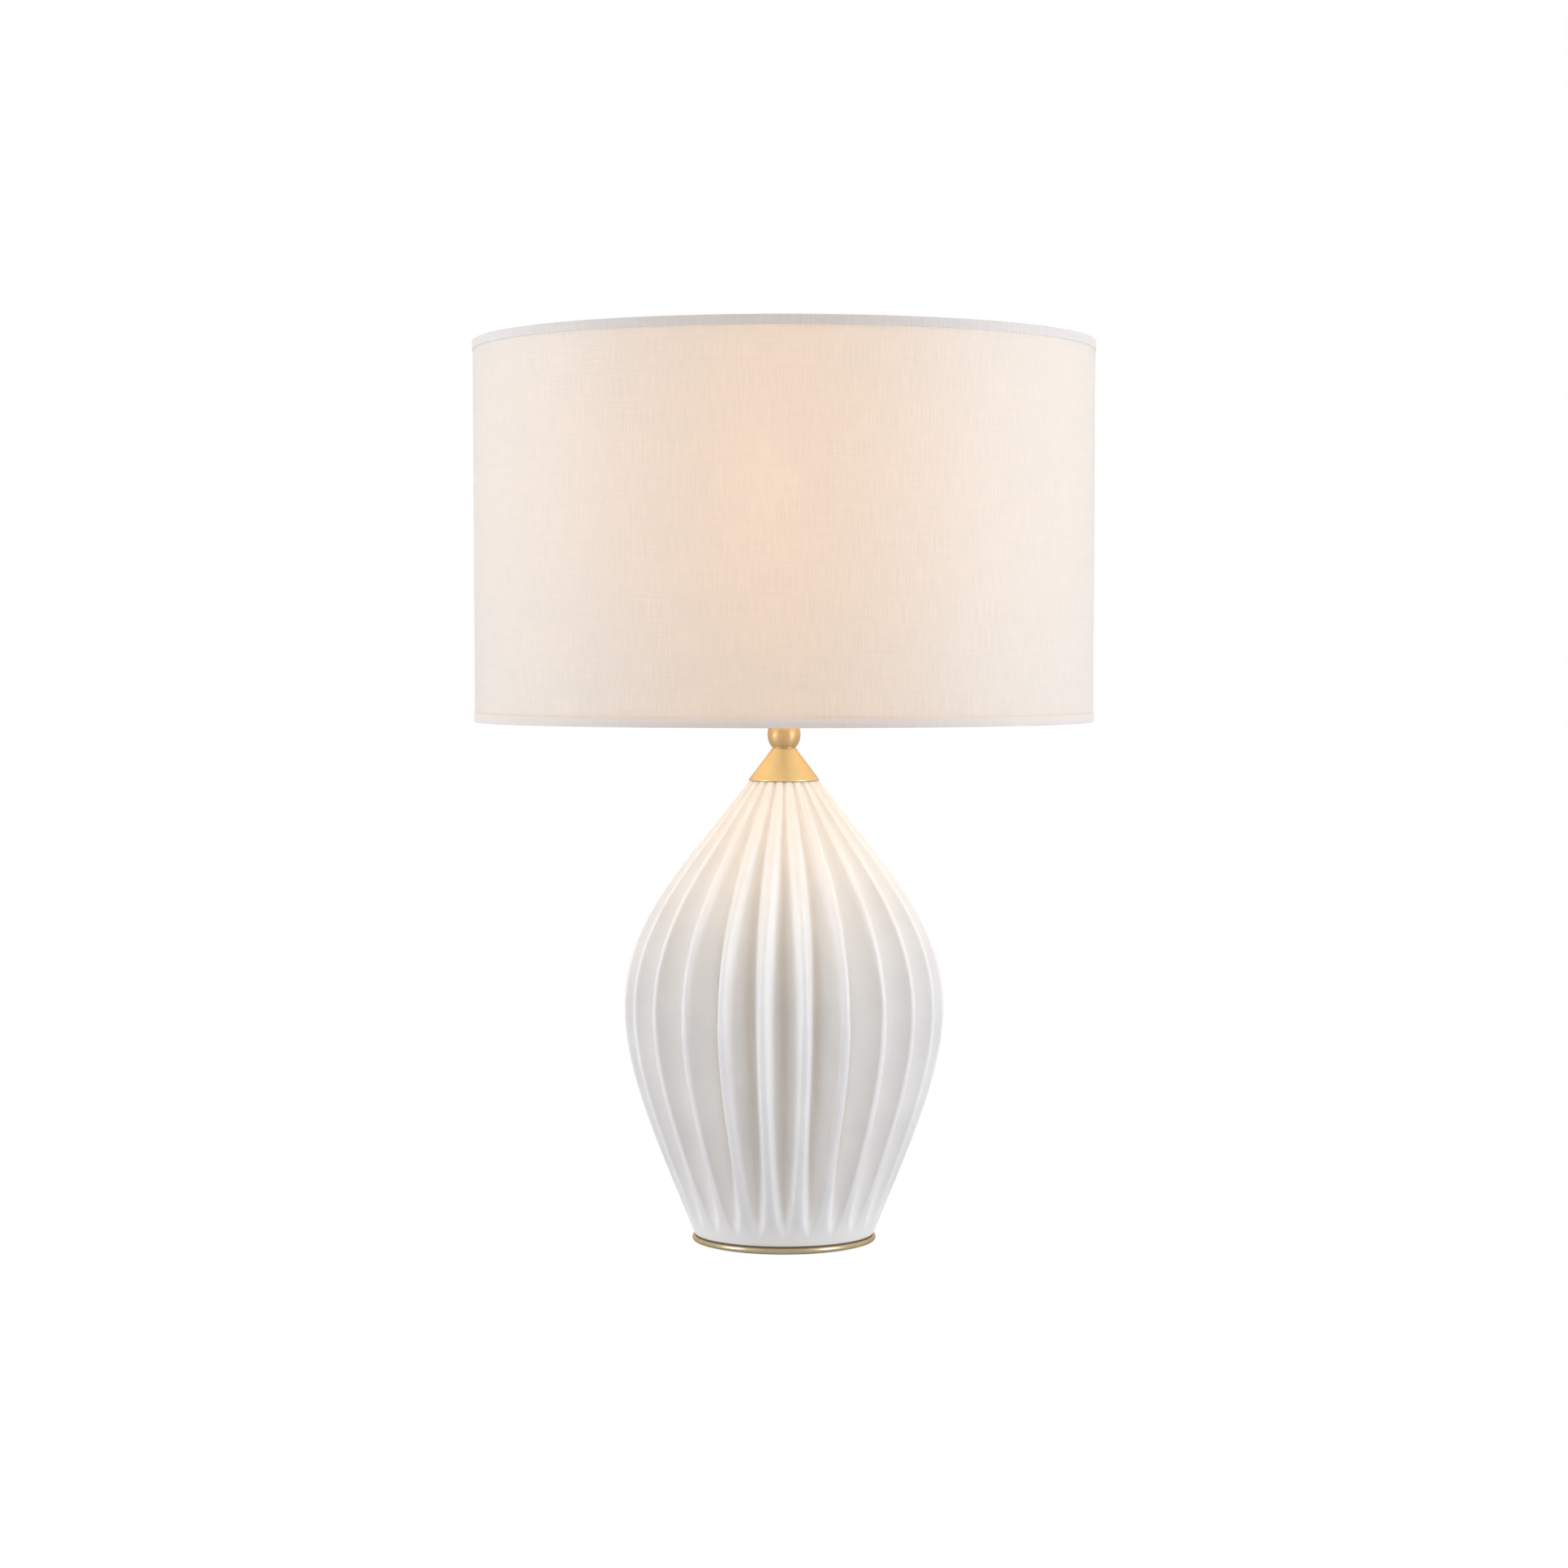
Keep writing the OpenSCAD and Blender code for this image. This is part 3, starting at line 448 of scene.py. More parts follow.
porcelain, tree, shader, place = finish("satin_porcelain", (0.86, 0.86, 0.86), 0.4,
                                        Coat_Weight=0.2, Coat_Roughness=0.22)
in_flute = put(tree, "ShaderNodeAttribute", attribute_name="flute_share").outputs["Fac"]
drift = cloud(tree, place, 30 * mm, -0.12, 0.12, detail=3)
# Painted light: paler in the flutes and darker on the ribs, against the flutes' shade, with a random drift
flute_light_and_drift = reckon(tree, "ADD", reckon(tree, "POWER", in_flute, 0.5), drift, clamp=True)
glaze = tint(tree, flute_light_and_drift, (0.685, 0.688, 0.698), (0.925, 0.918, 0.905))
# Painted shade: the bottoms of the deepest flutes are painted darker and warmer
painted_flute_shade = reckon(tree, "MULTIPLY", reckon(tree, "POWER", in_flute, 10), 0.55)
glaze = tint(tree, painted_flute_shade, glaze, (0.76, 0.7, 0.63))
# Painted light and shade by height: toward the neck the ribs are painted paler and warmer and the
# flutes a little darker, above the foot painted shade makes it greyer, and at the foot a band is painted
# paler
height = put(tree, "ShaderNodeSeparateXYZ", {0: place}).outputs["Z"]
neck_painted_light = tint(tree, flute_light_and_drift, (0.795, 0.782, 0.752), (0.868, 0.86, 0.838))
glaze = tint(tree, rising(tree, height, belly_z - 10 * mm, neck_z), glaze, neck_painted_light)
painted_shade_low = reckon(tree, "MULTIPLY", rising(tree, height, foot_z + 90 * mm, foot_z + 20 * mm), 0.32)
glaze = tint(tree, painted_shade_low, glaze, (0.56, 0.56, 0.575))
glaze = tint(tree, rising(tree, height, foot_z + 16 * mm, foot_z + 3 * mm), glaze, (0.785, 0.78, 0.77))
speck = cloud(tree, place, 0.7 * mm, detail=1)
speck = reckon(tree, "POWER", reckon(tree, "SUBTRACT", 1, speck, clamp=True), 9)
glaze = tint(tree, reckon(tree, "MULTIPLY", speck, 0.25), glaze, (0.74, 0.73, 0.71))
tree.links.new(glaze, shader.inputs["Base Color"])
tree.links.new(cloud(tree, place, 6 * mm, 0.36, 0.46, detail=4), shader.inputs["Roughness"])
slow = relief(tree, shader, cloud(tree, place, 18 * mm, detail=2), 0.12 * mm)
relief(tree, shader, cloud(tree, place, 0.9 * mm, detail=3), 0.012 * mm, slow)

porcelain_body = piece(porcelain_mesh, porcelain, "base", "porcelain_body")
# The cord's hole at the back of the foot, with a flat seat for the bushing's flange
inlet_low, inlet_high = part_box("cord_bushing")
inlet_r, seat_r, flange_deep, past_wall = 5.1 * mm, 6.7 * mm, 1.8 * mm, 100 * mm
inlet_z = (inlet_low.z + inlet_high.z) / 2
outside = Vector((0, past_wall, inlet_z))
bored(porcelain_body, rod(Vector((0, 0, inlet_z)), outside, inlet_r),
      rod(Vector((0, inlet_high.y - flange_deep, inlet_z)), outside, seat_r))
porcelain_body.data.set_sharp_from_angle(angle=math.radians(50))

# ---- Cord bushing --------------------------------------------------------------------------
# A flanged bushing of white nylon, pushed into the hole at the back of the body from outside,
# so that the cord isn't cut by the porcelain.


def plastic(name, colour, roughness, grain_size=0.35 * mm, grain_deep=0.01 * mm, **constants):
    """Moulded plastic: an even colour with faint flow marks and the fine grain of its mould."""
    material, tree, shader, place = finish(name, colour, roughness, **constants)
    flow = cloud(tree, place, 12 * mm, detail=3)
    darker = tuple(c * 0.93 for c in colour)
    tree.links.new(tint(tree, flow, darker, colour), shader.inputs["Base Color"])
    grain = cloud(tree, place, grain_size, detail=3)
    tree.links.new(reckon(tree, "MULTIPLY_ADD", grain, 0.1, roughness - 0.05), shader.inputs["Roughness"])
    relief(tree, shader, grain, grain_deep)
    return material


dress("cord_bushing", plastic("white_nylon", (0.82, 0.82, 0.8), 0.42))

# ---- Stem and clamp ------------------------------------------------------------------------
# One hollow threaded stem runs through the whole lamp. A washer, a split spring washer and a
# hexagon nut under the base plate's cup draw it tight; all are zinc-plated steel.


def zinc(name, thread=None):
    """Bright zinc plating with its fine crystals, and with a cut thread if it has a pitch."""
    material, tree, shader, place = finish(name, (0.66, 0.67, 0.68), 0.32, Metallic=1.0)
    cells = put(tree, "ShaderNodeTexVoronoi", {"Vector": place, "Scale": 1 / (0.8 * mm)})
    crystal = cells.outputs["Distance"]
    tree.links.new(tint(tree, crystal, (0.6, 0.62, 0.64), (0.74, 0.74, 0.73)), shader.inputs["Base Color"])
    tree.links.new(cloud(tree, place, 2 * mm, 0.26, 0.4, detail=4), shader.inputs["Roughness"])
    below = relief(tree, shader, crystal, 0.01 * mm)
    if thread:
        relief(tree, shader, winding(tree, place, thread), 0.3 * mm, below)
    return material


def winding(tree, place, pitch):
    """The height of a cut thread, from 0 at its root to 1 at its crest."""
    _, angle, height = round_the_axis(tree, place)
    climb, turn = reckon(tree, "DIVIDE", height, pitch), reckon(tree, "DIVIDE", angle, 2 * math.pi)
    return reckon(tree, "PINGPONG", reckon(tree, "SUBTRACT", climb, turn), 0.5)


plated = zinc("zinc_plating")
dress("stem", zinc("zinc_thread", thread=1.0 * mm))
for node in ("clamp_washer", "spring_washer", "clamp_nut"):
    dress(node, plated)

# ---- Neck rings ----------------------------------------------------------------------------
# A soft tan ring keeps the brass cone off the glaze, and a pressed washer dropped into the
# neck holds the stem on the axis.
dress("crown_ring", rubber("tan_rubber", (0.34, 0.27, 0.17)))
dress("centring_washer", plated)

# ---- Cone and ball -------------------------------------------------------------------------
# The visible neck: a cone spun from brass sheet with a small upright lip over the porcelain,
# and a solid turned ball with a collar at each end. Both are satin brushed and lacquered.


def eased(corners, steps=4):
    """The closed outline of [radius, height, easing] with every corner rounded off by its easing."""
    line = []
    for i, (r, z, ease) in enumerate(corners):
        here = Vector((r, z))
        back = Vector(corners[i - 1][:2]) - here
        on = Vector(corners[(i + 1) % len(corners)][:2]) - here
        if not ease:
            line.append(here)
            continue
        reach = min(ease / math.tan(back.angle(on) / 2), 0.45 * back.length, 0.45 * on.length)
        start, end = here + back.normalized() * reach, here + on.normalized() * reach
        for s in range(steps + 1):
            t = s / steps
            line.append(start * (1 - t) ** 2 + here * 2 * t * (1 - t) + end * t ** 2)
    return line


def turned(name, line, sides=128, wave=None):
    """A solid of revolution from a closed outline that runs up its outside; wave shifts a radius."""
    rings = []
    for p in line:
        row = []
        for k in range(sides):
            a = 2 * math.pi * k / sides
            r = p.x + (wave(p, a) if wave else 0)
            row.append((r * math.sin(a), -r * math.cos(a), p.y))
        rings.append(row)
    return grid(name, rings)


def level(made):
    """Keeps flat faces flat beside rounded edges."""
    made.modifiers.new("level", "WEIGHTED_NORMAL").keep_sharp = True
    return made


neck_brass = brushed_brass("satin_brass", (0.835, 0.615, 0.243), (0.795, 0.575, 0.228), 0.45,
                           lacquer=1.0, gloss=0.18)
cone_low, cone_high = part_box("neck_cone")
cone_r, cone_top_r, cone_lip = cone_high.x, 7.8 * mm, 0.8 * mm
cone_wall, stem_way = 1.2 * mm, 5.2 * mm
lean = math.atan((cone_r - cone_top_r) / (cone_high.z - cone_low.z - cone_lip))
side_w = cone_wall / math.cos(lean)
cone_line = eased([
    (cone_r - side_w, cone_low.z, 0.1 * mm), (cone_r, cone_low.z, 0.2 * mm),
    (cone_r, cone_low.z + cone_lip, 0.35 * mm), (cone_top_r, cone_high.z, 0.3 * mm),
    (stem_way, cone_high.z, 0.1 * mm), (stem_way, cone_high.z - 2 * cone_wall, 0.1 * mm),
    (cone_top_r - side_w + 2 * cone_wall * math.tan(lean), cone_high.z - 2 * cone_wall, 0),
    (cone_r - side_w, cone_low.z + cone_lip, 0)])
level(piece(turned("cone", cone_line), neck_brass, "base", "neck_cone", crease=60))

ball_low, ball_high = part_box("neck_ball")
ball_r, ball_side_r, collar_r, collar_h = 10.75 * mm, 14 * mm, 7.55 * mm, 1.0 * mm
half_steps = 12
ball_mid = (ball_low.z + ball_high.z) / 2
ball_lean = math.asin((ball_mid - ball_low.z - collar_h) / ball_side_r)
ball_corners = [(stem_way, ball_low.z, 0.1 * mm), (collar_r, ball_low.z, 0.15 * mm),
                (collar_r, ball_low.z + collar_h, 0)]
for s in range(2 * half_steps + 1):
    a = ball_lean * (s / half_steps - 1)
    bulge = ball_side_r * (1 - math.cos(a))
    ball_corners.append((ball_r - bulge, ball_mid + ball_side_r * math.sin(a), 0))
ball_corners += [(collar_r, ball_high.z - collar_h, 0), (collar_r, ball_high.z, 0.15 * mm),
                 (stem_way, ball_high.z, 0.1 * mm)]
# Painted shade darkens the ball's lower end, above its collar
ball_brass = brushed_brass("turned_brass", (0.7, 0.462, 0.188), (0.64, 0.415, 0.165), 0.42,
                           lacquer=0.7, shaded_span=(ball_low.z + collar_h, ball_low.z + 9 * mm))
level(piece(turned("ball", eased(ball_corners)), ball_brass, "base", "neck_ball", crease=40))

# ---- Lampholder cap ------------------------------------------------------------------------
# The domed brass cap screws down on the stem and closes the lampholder from below. It has the
# same brushed finish as the neck, though the shade hides it from the front.
cap_low, cap_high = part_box("holder_cap")
barrel_r, cap_wall, boss_r, boss_h = 19.5 * mm, 1.6 * mm, 8.5 * mm, 5 * mm
cap_bore, dome_h, cap_stem = barrel_r - cap_wall, 9 * mm, 5.06 * mm
dome_z, dome_steps = cap_low.z + boss_h, 16
dome_turns = [s * math.pi / (2 * dome_steps) for s in range(1, dome_steps + 1)]
cap_corners = [(cap_stem, cap_low.z, 0.1 * mm), (boss_r, cap_low.z, 0.4 * mm), (boss_r, dome_z, 0.4 * mm)]
for a in dome_turns:
    rise = dome_h * (1 - math.cos(a))
    cap_corners.append((boss_r + (barrel_r - boss_r) * math.sin(a), dome_z + rise, 0))
cap_corners += [(barrel_r, cap_high.z, 0.25 * mm), (cap_bore, cap_high.z, 0.1 * mm)]
for a in reversed(dome_turns):
    rise = dome_h * (1 - math.cos(a))
    cap_corners.append((boss_r + (cap_bore - boss_r) * math.sin(a), dome_z + cap_wall + rise, 0))
cap_corners.append((cap_stem, dome_z + cap_wall, 0))
level(piece(turned("lampholder_cap", eased(cap_corners)), neck_brass, "base", "holder_cap", crease=40))

# ---- Contacts ------------------------------------------------------------------------------
# A white ceramic insulator carries the terminal screws, the centre contact and the thin screw
# shell that the bulb turns into; the metal is plain rolled brass.
ceramic = plastic("white_ceramic", (0.78, 0.77, 0.73), 0.35, grain_size=0.6 * mm, grain_deep=0.02 * mm)
dress("holder_insulator", ceramic)
rolled, tree, shader, place = finish("rolled_brass", (0.8, 0.6, 0.3), 0.28, Metallic=1.0)
smear = cloud(tree, place, 3 * mm, detail=4)
tree.links.new(tint(tree, smear, (0.7, 0.5, 0.22), (0.84, 0.64, 0.34)), shader.inputs["Base Color"])
tree.links.new(cloud(tree, place, 1 * mm, 0.2, 0.36, detail=4), shader.inputs["Roughness"])
screw_pitch = 3.62 * mm
relief(tree, shader, winding(tree, place, screw_pitch), 0.25 * mm)
for node in ("terminal_screws", "centre_contact", "screw_shell"):
    dress(node, rolled)

# ---- Barrel and switch bar -----------------------------------------------------------------
# The lampholder's barrel is pressed from black thermoset, with the flange that the shade rests
# on and a coarse thread above it. The bar pushed through it switches the lamp on and off.
black = plastic("black_thermoset", (0.018, 0.018, 0.019), 0.36,
                grain_size=0.5 * mm, grain_deep=0.012 * mm, Coat_Weight=0.2)
barrel_low, barrel_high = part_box("holder_barrel")
seat_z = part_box("fitter_ring")[0].z
barrel_bore, spigot_r, flange_r, flange_t = 14.3 * mm, 17.7 * mm, 23.5 * mm, 2 * mm
thread_pitch, thread_deep, rings_a_turn = 2.5 * mm, 0.7 * mm, 8
thread_from, thread_to = seat_z + 1.5 * mm, barrel_high.z - 1.2 * mm
barrel_corners = [
    (barrel_bore, barrel_low.z, 0.1 * mm), (spigot_r, barrel_low.z, 0.1 * mm), (spigot_r, cap_high.z, 0),
    (barrel_r, cap_high.z, 0.2 * mm), (barrel_r, seat_z - flange_t, 0.2 * mm),
    (flange_r, seat_z - flange_t, 0.3 * mm), (flange_r, seat_z, 0.3 * mm), (barrel_r, seat_z, 0.1 * mm)]
barrel_line = eased(barrel_corners + [(barrel_r, thread_from, 0)])
thread_h = thread_to - thread_from
thread_steps = round(thread_h / thread_pitch * rings_a_turn)
barrel_line += [Vector((barrel_r, thread_from + thread_h * i / thread_steps)) for i in range(1, thread_steps)]
barrel_mouth = [(barrel_r, thread_to, 0), (barrel_r, barrel_high.z, 0.4 * mm),
                (barrel_bore, barrel_high.z, 0.3 * mm)]
barrel_line += eased(barrel_mouth)[:-1]


def barrel_thread(p, a):
    """The thread is cut into the barrel and runs out at both ends."""
    if not thread_from < p.y < thread_to or p.x < barrel_r - 0.1 * mm:
        return 0
    turn = ((p.y - thread_from) / thread_pitch - a / (2 * math.pi)) % 1
    run_out = min(1, (p.y - thread_from) / thread_pitch, (thread_to - p.y) / thread_pitch)
    return -thread_deep * (0.5 - 0.5 * math.cos(2 * math.pi * turn)) * run_out


barrel = piece(turned("barrel", barrel_line, 96, barrel_thread), black, "base", "holder_barrel", crease=50)
bar_low, bar_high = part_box("switch_bar")
bar_z, bar_way_r, past_barrel = (bar_low.z + bar_high.z) / 2, 2.56 * mm, 30 * mm
bored(barrel, rod(Vector((-past_barrel, 0, bar_z)), Vector((past_barrel, 0, bar_z)), bar_way_r, 32))
barrel.data.set_sharp_from_angle(angle=math.radians(40))
dress("switch_bar", black)

# ---- Shade ring ----------------------------------------------------------------------------
# The threaded ring with twelve finger grips that clamps the shade's fitter on the flange,
# pressed from the same black thermoset.
dress("shade_ring", black)

# ---- Bulb ----------------------------------------------------------------------------------
# A lit LED bulb: a nickel-plated screw cap with its contact in black glass, a white plastic
# housing over the board with its chips, and an opal diffuser that glows warm.
tin, tree, shader, place = finish("tinned_contact", (0.72, 0.72, 0.7), 0.35, Metallic=1.0)
dents = cloud(tree, place, 1.5 * mm, detail=3)
tree.links.new(tint(tree, dents, (0.6, 0.6, 0.58), (0.78, 0.78, 0.76)), shader.inputs["Base Color"])
relief(tree, shader, dents, 0.05 * mm)
dress("bulb_tip", tin)
dress("bulb_glass", plastic("black_glass", (0.012, 0.012, 0.014), 0.12, grain_size=1.5 * mm, Coat_Weight=0.5))

nickel, tree, shader, place = finish("nickel_plating", (0.7, 0.68, 0.64), 0.24, Metallic=1.0)
rub = cloud(tree, place, 2.5 * mm, detail=5)
tree.links.new(tint(tree, rub, (0.6, 0.58, 0.54), (0.74, 0.72, 0.69)), shader.inputs["Base Color"])
tree.links.new(reckon(tree, "MULTIPLY_ADD", rub, 0.14, 0.18), shader.inputs["Roughness"])
relief(tree, shader, rub, 0.01 * mm)
screw_low, screw_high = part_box("bulb_cap")
screw_r, screw_wall, screw_deep, nose = 13.2 * mm, 0.5 * mm, 0.95 * mm, 2.2 * mm
screw_from, screw_to, screw_steps = screw_low.z + 1.5 * mm, screw_high.z - 4 * mm, 48
screw_line = [Vector((0, screw_low.z)), Vector((screw_r - nose, screw_low.z)),
              Vector((screw_r - 1.2 * mm, screw_low.z + 0.4 * mm))]
screw_line += [Vector((screw_r, screw_from + (screw_to - screw_from) * i / screw_steps))
               for i in range(screw_steps + 1)]
screw_line += [Vector((screw_r, screw_high.z)), Vector((screw_r - screw_wall, screw_high.z)),
               Vector((screw_r - screw_wall - screw_deep, screw_to)),
               Vector((screw_r - screw_wall - nose, screw_low.z + screw_wall)),
               Vector((0, screw_low.z + screw_wall))]


def screw_thread(p, a):
    """The round thread of the cap runs out at its lower and upper end."""
    if p.x < screw_r - 0.01 * mm or not screw_from <= p.y <= screw_to:
        return 0
    turn = ((p.y - screw_from) / screw_pitch - a / (2 * math.pi)) % 1
    run_out = min(1, (screw_to - p.y) / screw_pitch)
    return -screw_deep * (0.5 - 0.5 * math.cos(2 * math.pi * turn)) * run_out


screw_mesh = turned("bulb_screw_cap", screw_line, 72, screw_thread)
piece(screw_mesh, nickel, "bulb", "bulb_cap", crease=50)

dress("bulb_housing", plastic("white_housing", (0.84, 0.84, 0.83), 0.4))
dress("light_board", plastic("white_board", (0.8, 0.8, 0.78), 0.35))
chips, tree, shader, place = finish("phosphor", (0.85, 0.7, 0.2), 0.45, Emission_Strength=8.0)
dots = cloud(tree, place, 0.3 * mm)
tree.links.new(tint(tree, dots, (0.8, 0.62, 0.12), (0.9, 0.76, 0.25)), shader.inputs["Base Color"])
shader.inputs["Emission Color"].default_value = (1, 0.75, 0.4, 1)
chips.cycles.emission_sampling = "NONE"
dress("light_chips", chips)

bulb_light, bulb_colour = 48, (1.0, 0.7, 0.43)
globe_low, globe_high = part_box("bulb_diffuser")
globe_r, globe_foot_r, globe_wall, globe_sides = 30 * mm, 29 * mm, 1.5 * mm, 48
globe_mid, inner_r = globe_high.z - globe_r, globe_r - globe_wall
outer_turns = [math.pi / 2 * i / 16 for i in range(17)]
inner_turns = [math.pi / 2 * i / 10 for i in range(10, -1, -1)]
globe_line = [Vector((globe_foot_r - globe_wall, globe_low.z)), Vector((globe_foot_r, globe_low.z)),
              Vector((globe_foot_r, globe_low.z + 0.6 * mm))]
globe_line += [Vector((globe_r * math.cos(a), globe_mid + globe_r * math.sin(a))) for a in outer_turns]
outer_rings = len(globe_line)
globe_line += [Vector((inner_r * math.cos(a), globe_mid + inner_r * math.sin(a))) for a in inner_turns]
globe_mesh = turned("opal_diffuser", globe_line, globe_sides)
opal, tree, shader, place = finish("lit_opal", (0.85, 0.83, 0.8), 0.35)
shader.inputs["Emission Color"].default_value = (*bulb_colour, 1)
mist = cloud(tree, place, 14 * mm, 0.96 * bulb_light, 1.04 * bulb_light)
tree.links.new(mist, shader.inputs["Emission Strength"])
opal.cycles.emission_sampling = "FRONT"
inner_opal = plastic("opal_inside", (0.85, 0.83, 0.8), 0.5)
piece(globe_mesh, opal, "bulb", "bulb_diffuser", crease=60)
# Only its outside glows: the inner faces, and those that join inside to outside, don't
globe_mesh.materials.append(inner_opal)
for face in globe_mesh.polygons:
    first, last = min(face.vertices) // globe_sides, max(face.vertices) // globe_sides
    if first >= outer_rings - 1 or last - first > 1:
        face.material_index = 1

# ---- Fitter and hoops ----------------------------------------------------------------------
# The shade's frame: a pressed ring that sits on the lampholder, three wire arms welded to it,
# and a wire hoop in each rim, all coated with white enamel.
enamel = plastic("white_enamel", (0.8, 0.79, 0.77), 0.33,
                 grain_size=1.2 * mm, grain_deep=0.03 * mm, Coat_Weight=0.3)
for node in ("fitter_ring", "fitter_arms", "bottom_hoop", "top_hoop"):
    dress(node, enamel)

# ---- Shade liner ---------------------------------------------------------------------------
# A stiff sheet of white styrene, rolled into a drum and glued at the back. It carries the linen
# and spreads the bulb's light over it.
shade_z, shade_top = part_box("bottom_hem")[0].z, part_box("top_hem")[1].z
shade_r, shade_top_r = 200 * mm, 200.75 * mm
hem_t, linen_t, liner_t, wire_r = 0.5 * mm, 0.6 * mm, 0.9 * mm, 1.5 * mm
drum_sides = 256


def wall_r(z):
    """Outside radius of the linen at height z."""
    return shade_r + (shade_top_r - shade_r) * (z - shade_z) / (shade_top - shade_z) - hem_t


def drum(name, inset):
    """A thin sheet rolled into the shade's drum, inset from the linen's face."""
    low, high, rows = shade_z + hem_t, shade_top - hem_t, 24
    turns = [2 * math.pi * k / drum_sides for k in range(drum_sides)]
    rings = []
    for i in range(rows + 1):
        z = low + (high - low) * i / rows
        r = wall_r(z) - inset
        rings.append([(r * math.sin(a), -r * math.cos(a), z) for a in turns])
    return grid(name, rings, closed=False)


liner, tree, shader, place = finish("white_styrene", (0.9, 0.89, 0.87), 0.45)
haze = cloud(tree, place, 25 * mm, 0.48, 0.52, detail=3)
relief(tree, shader, cloud(tree, place, 0.8 * mm, detail=3), 0.02 * mm)
tree.links.new(tint(tree, haze, (0.88, 0.87, 0.85), (0.91, 0.9, 0.88)), shader.inputs["Base Color"])
through = put(tree, "ShaderNodeBsdfTranslucent", {"Color": (0.95, 0.93, 0.9, 1)})
sheet = put(tree, "ShaderNodeMixShader", {0: haze, 1: shader.outputs[0], 2: through.outputs[0]})
tree.links.new(sheet.outputs[0], tree.nodes["Material Output"].inputs["Surface"])
piece(drum("liner", linen_t + liner_t / 2), liner, "shade", "shade_liner")

# A lit shade's mouth also throws light down: one soft warm lamp for matt surfaces, one for metal
mouth_r, mouth_z = shade_r - 20 * mm, shade_z + hem_t + 3.5 * mm
for name, brightness, in_metal in (("down_light", 0.39, False), ("neck_light", 0.66, True)):
    mouth = bpy.data.objects.new(name, bpy.data.lights.new(name, "AREA"))
    mouth.data.shape = "DISK"
    mouth.data.size = 2 * mouth_r
    mouth.data.energy = brightness * math.pi * math.pi * mouth_r ** 2
    mouth.data.color = bulb_colour
    mouth.location = (0, 0, mouth_z)
    mouth.visible_camera = False
    mouth.visible_glossy, mouth.visible_diffuse = in_metal, not in_metal
    scene.collection.objects.link(mouth)

# ---- Linen ---------------------------------------------------------------------------------
# One length of plain-woven linen, stretched round the liner and lapped at the back. Its yarns
# vary in thickness along their length, so that fine streaks run up it and, fainter, across it.
yarn = 0.5 * mm


def woven(tree, place, shader, streak=1.0):
    """Raises the weave and its slubs; gives the slubs, the angle round the shade and the height."""
    _, angle, height = round_the_axis(tree, place)
    across = reckon(tree, "MULTIPLY", angle, shade_r)
    # Slubs: thick stretches of the upright and of the level yarns
    long_up = gathered(tree, across, reckon(tree, "MULTIPLY", height, 0.05), 0)
    long_level = gathered(tree, reckon(tree, "MULTIPLY", across, 0.06), height, 3)
    up_slubs = cloud(tree, long_up, 0.95 * mm, detail=3, roughness=0.6)
    level_slubs = cloud(tree, long_level, 1.1 * mm, detail=3, roughness=0.6)
    slub = reckon(tree, "MULTIPLY_ADD", up_slubs, 0.68, reckon(tree, "MULTIPLY", level_slubs, 0.32))
    # The plain weave itself, a yarn over and a yarn under
    sway = cloud(tree, place, 2 * mm, -0.2, 0.2)
    u = reckon(tree, "MULTIPLY", reckon(tree, "ADD", reckon(tree, "DIVIDE", across, yarn), sway), math.pi)
    v = reckon(tree, "MULTIPLY", reckon(tree, "ADD", reckon(tree, "DIVIDE", height, yarn), sway), math.pi)
    su, sv = reckon(tree, "SINE", u), reckon(tree, "SINE", v)
    over = reckon(tree, "MULTIPLY_ADD", reckon(tree, "MULTIPLY", su, sv), 0.5, 0.5)
    under = reckon(tree, "SUBTRACT", 1, over)
    upright = reckon(tree, "MULTIPLY", reckon(tree, "ABSOLUTE", su), over)
    across_yarn = reckon(tree, "MULTIPLY", reckon(tree, "ABSOLUTE", sv), under)
    weave = reckon(tree, "MAXIMUM", upright, across_yarn)
    below = relief(tree, shader, slub, 0.22 * mm * streak)
    relief(tree, shader, weave, 0.09 * mm, below)
    return slub, angle, height


def off_square(tree):
    """0 where the cloth is seen squarely, 0.68 where it is seen 30 degrees from that, 0.94 at 45."""
    return put(tree, "ShaderNodeLayerWeight", {"Blend": 0.9375}).outputs["Facing"]


linen, tree, shader, place = finish("linen", (0.87, 0.865, 0.855), 0.85,
                                    Sheen_Weight=0.03, Sheen_Roughness=0.5)
slub, angle, height = woven(tree, place, shader)
# Painted light and shade by the angle of view: the cloth is painted warmest and lets most light
# through where it is seen squarely, a painted glow of the bulb behind, and is painted darker,
# greyer and more closed where it is seen edge-on, painted shade
aside = off_square(tree)
slant = reckon(tree, "POWER", put(tree, "ShaderNodeLayerWeight", {"Blend": 0.5}).outputs["Facing"], 2)
cloth_colour = tint(tree, slub, tint(tree, aside, (0.768, 0.719, 0.668), (0.785, 0.777, 0.755)),
                    tint(tree, aside, (0.692, 0.65, 0.605), (0.71, 0.7, 0.68)))
cloth_colour = tint(tree, reckon(tree, "MULTIPLY", slant, 0.8), cloth_colour, (0.62, 0.6, 0.57))
tree.links.new(cloth_colour, shader.inputs["Base Color"])
# The lap at the back, where the cloth is double
lap = reckon(tree, "GREATER_THAN", reckon(tree, "ABSOLUTE", angle), math.pi - 6 * mm / shade_r)
# Painted light: just above the lower rim the cloth lets more light through, lightening that band
lower_rim_glow = rising(tree, height, shade_z + 20 * mm, shade_z + 6 * mm)
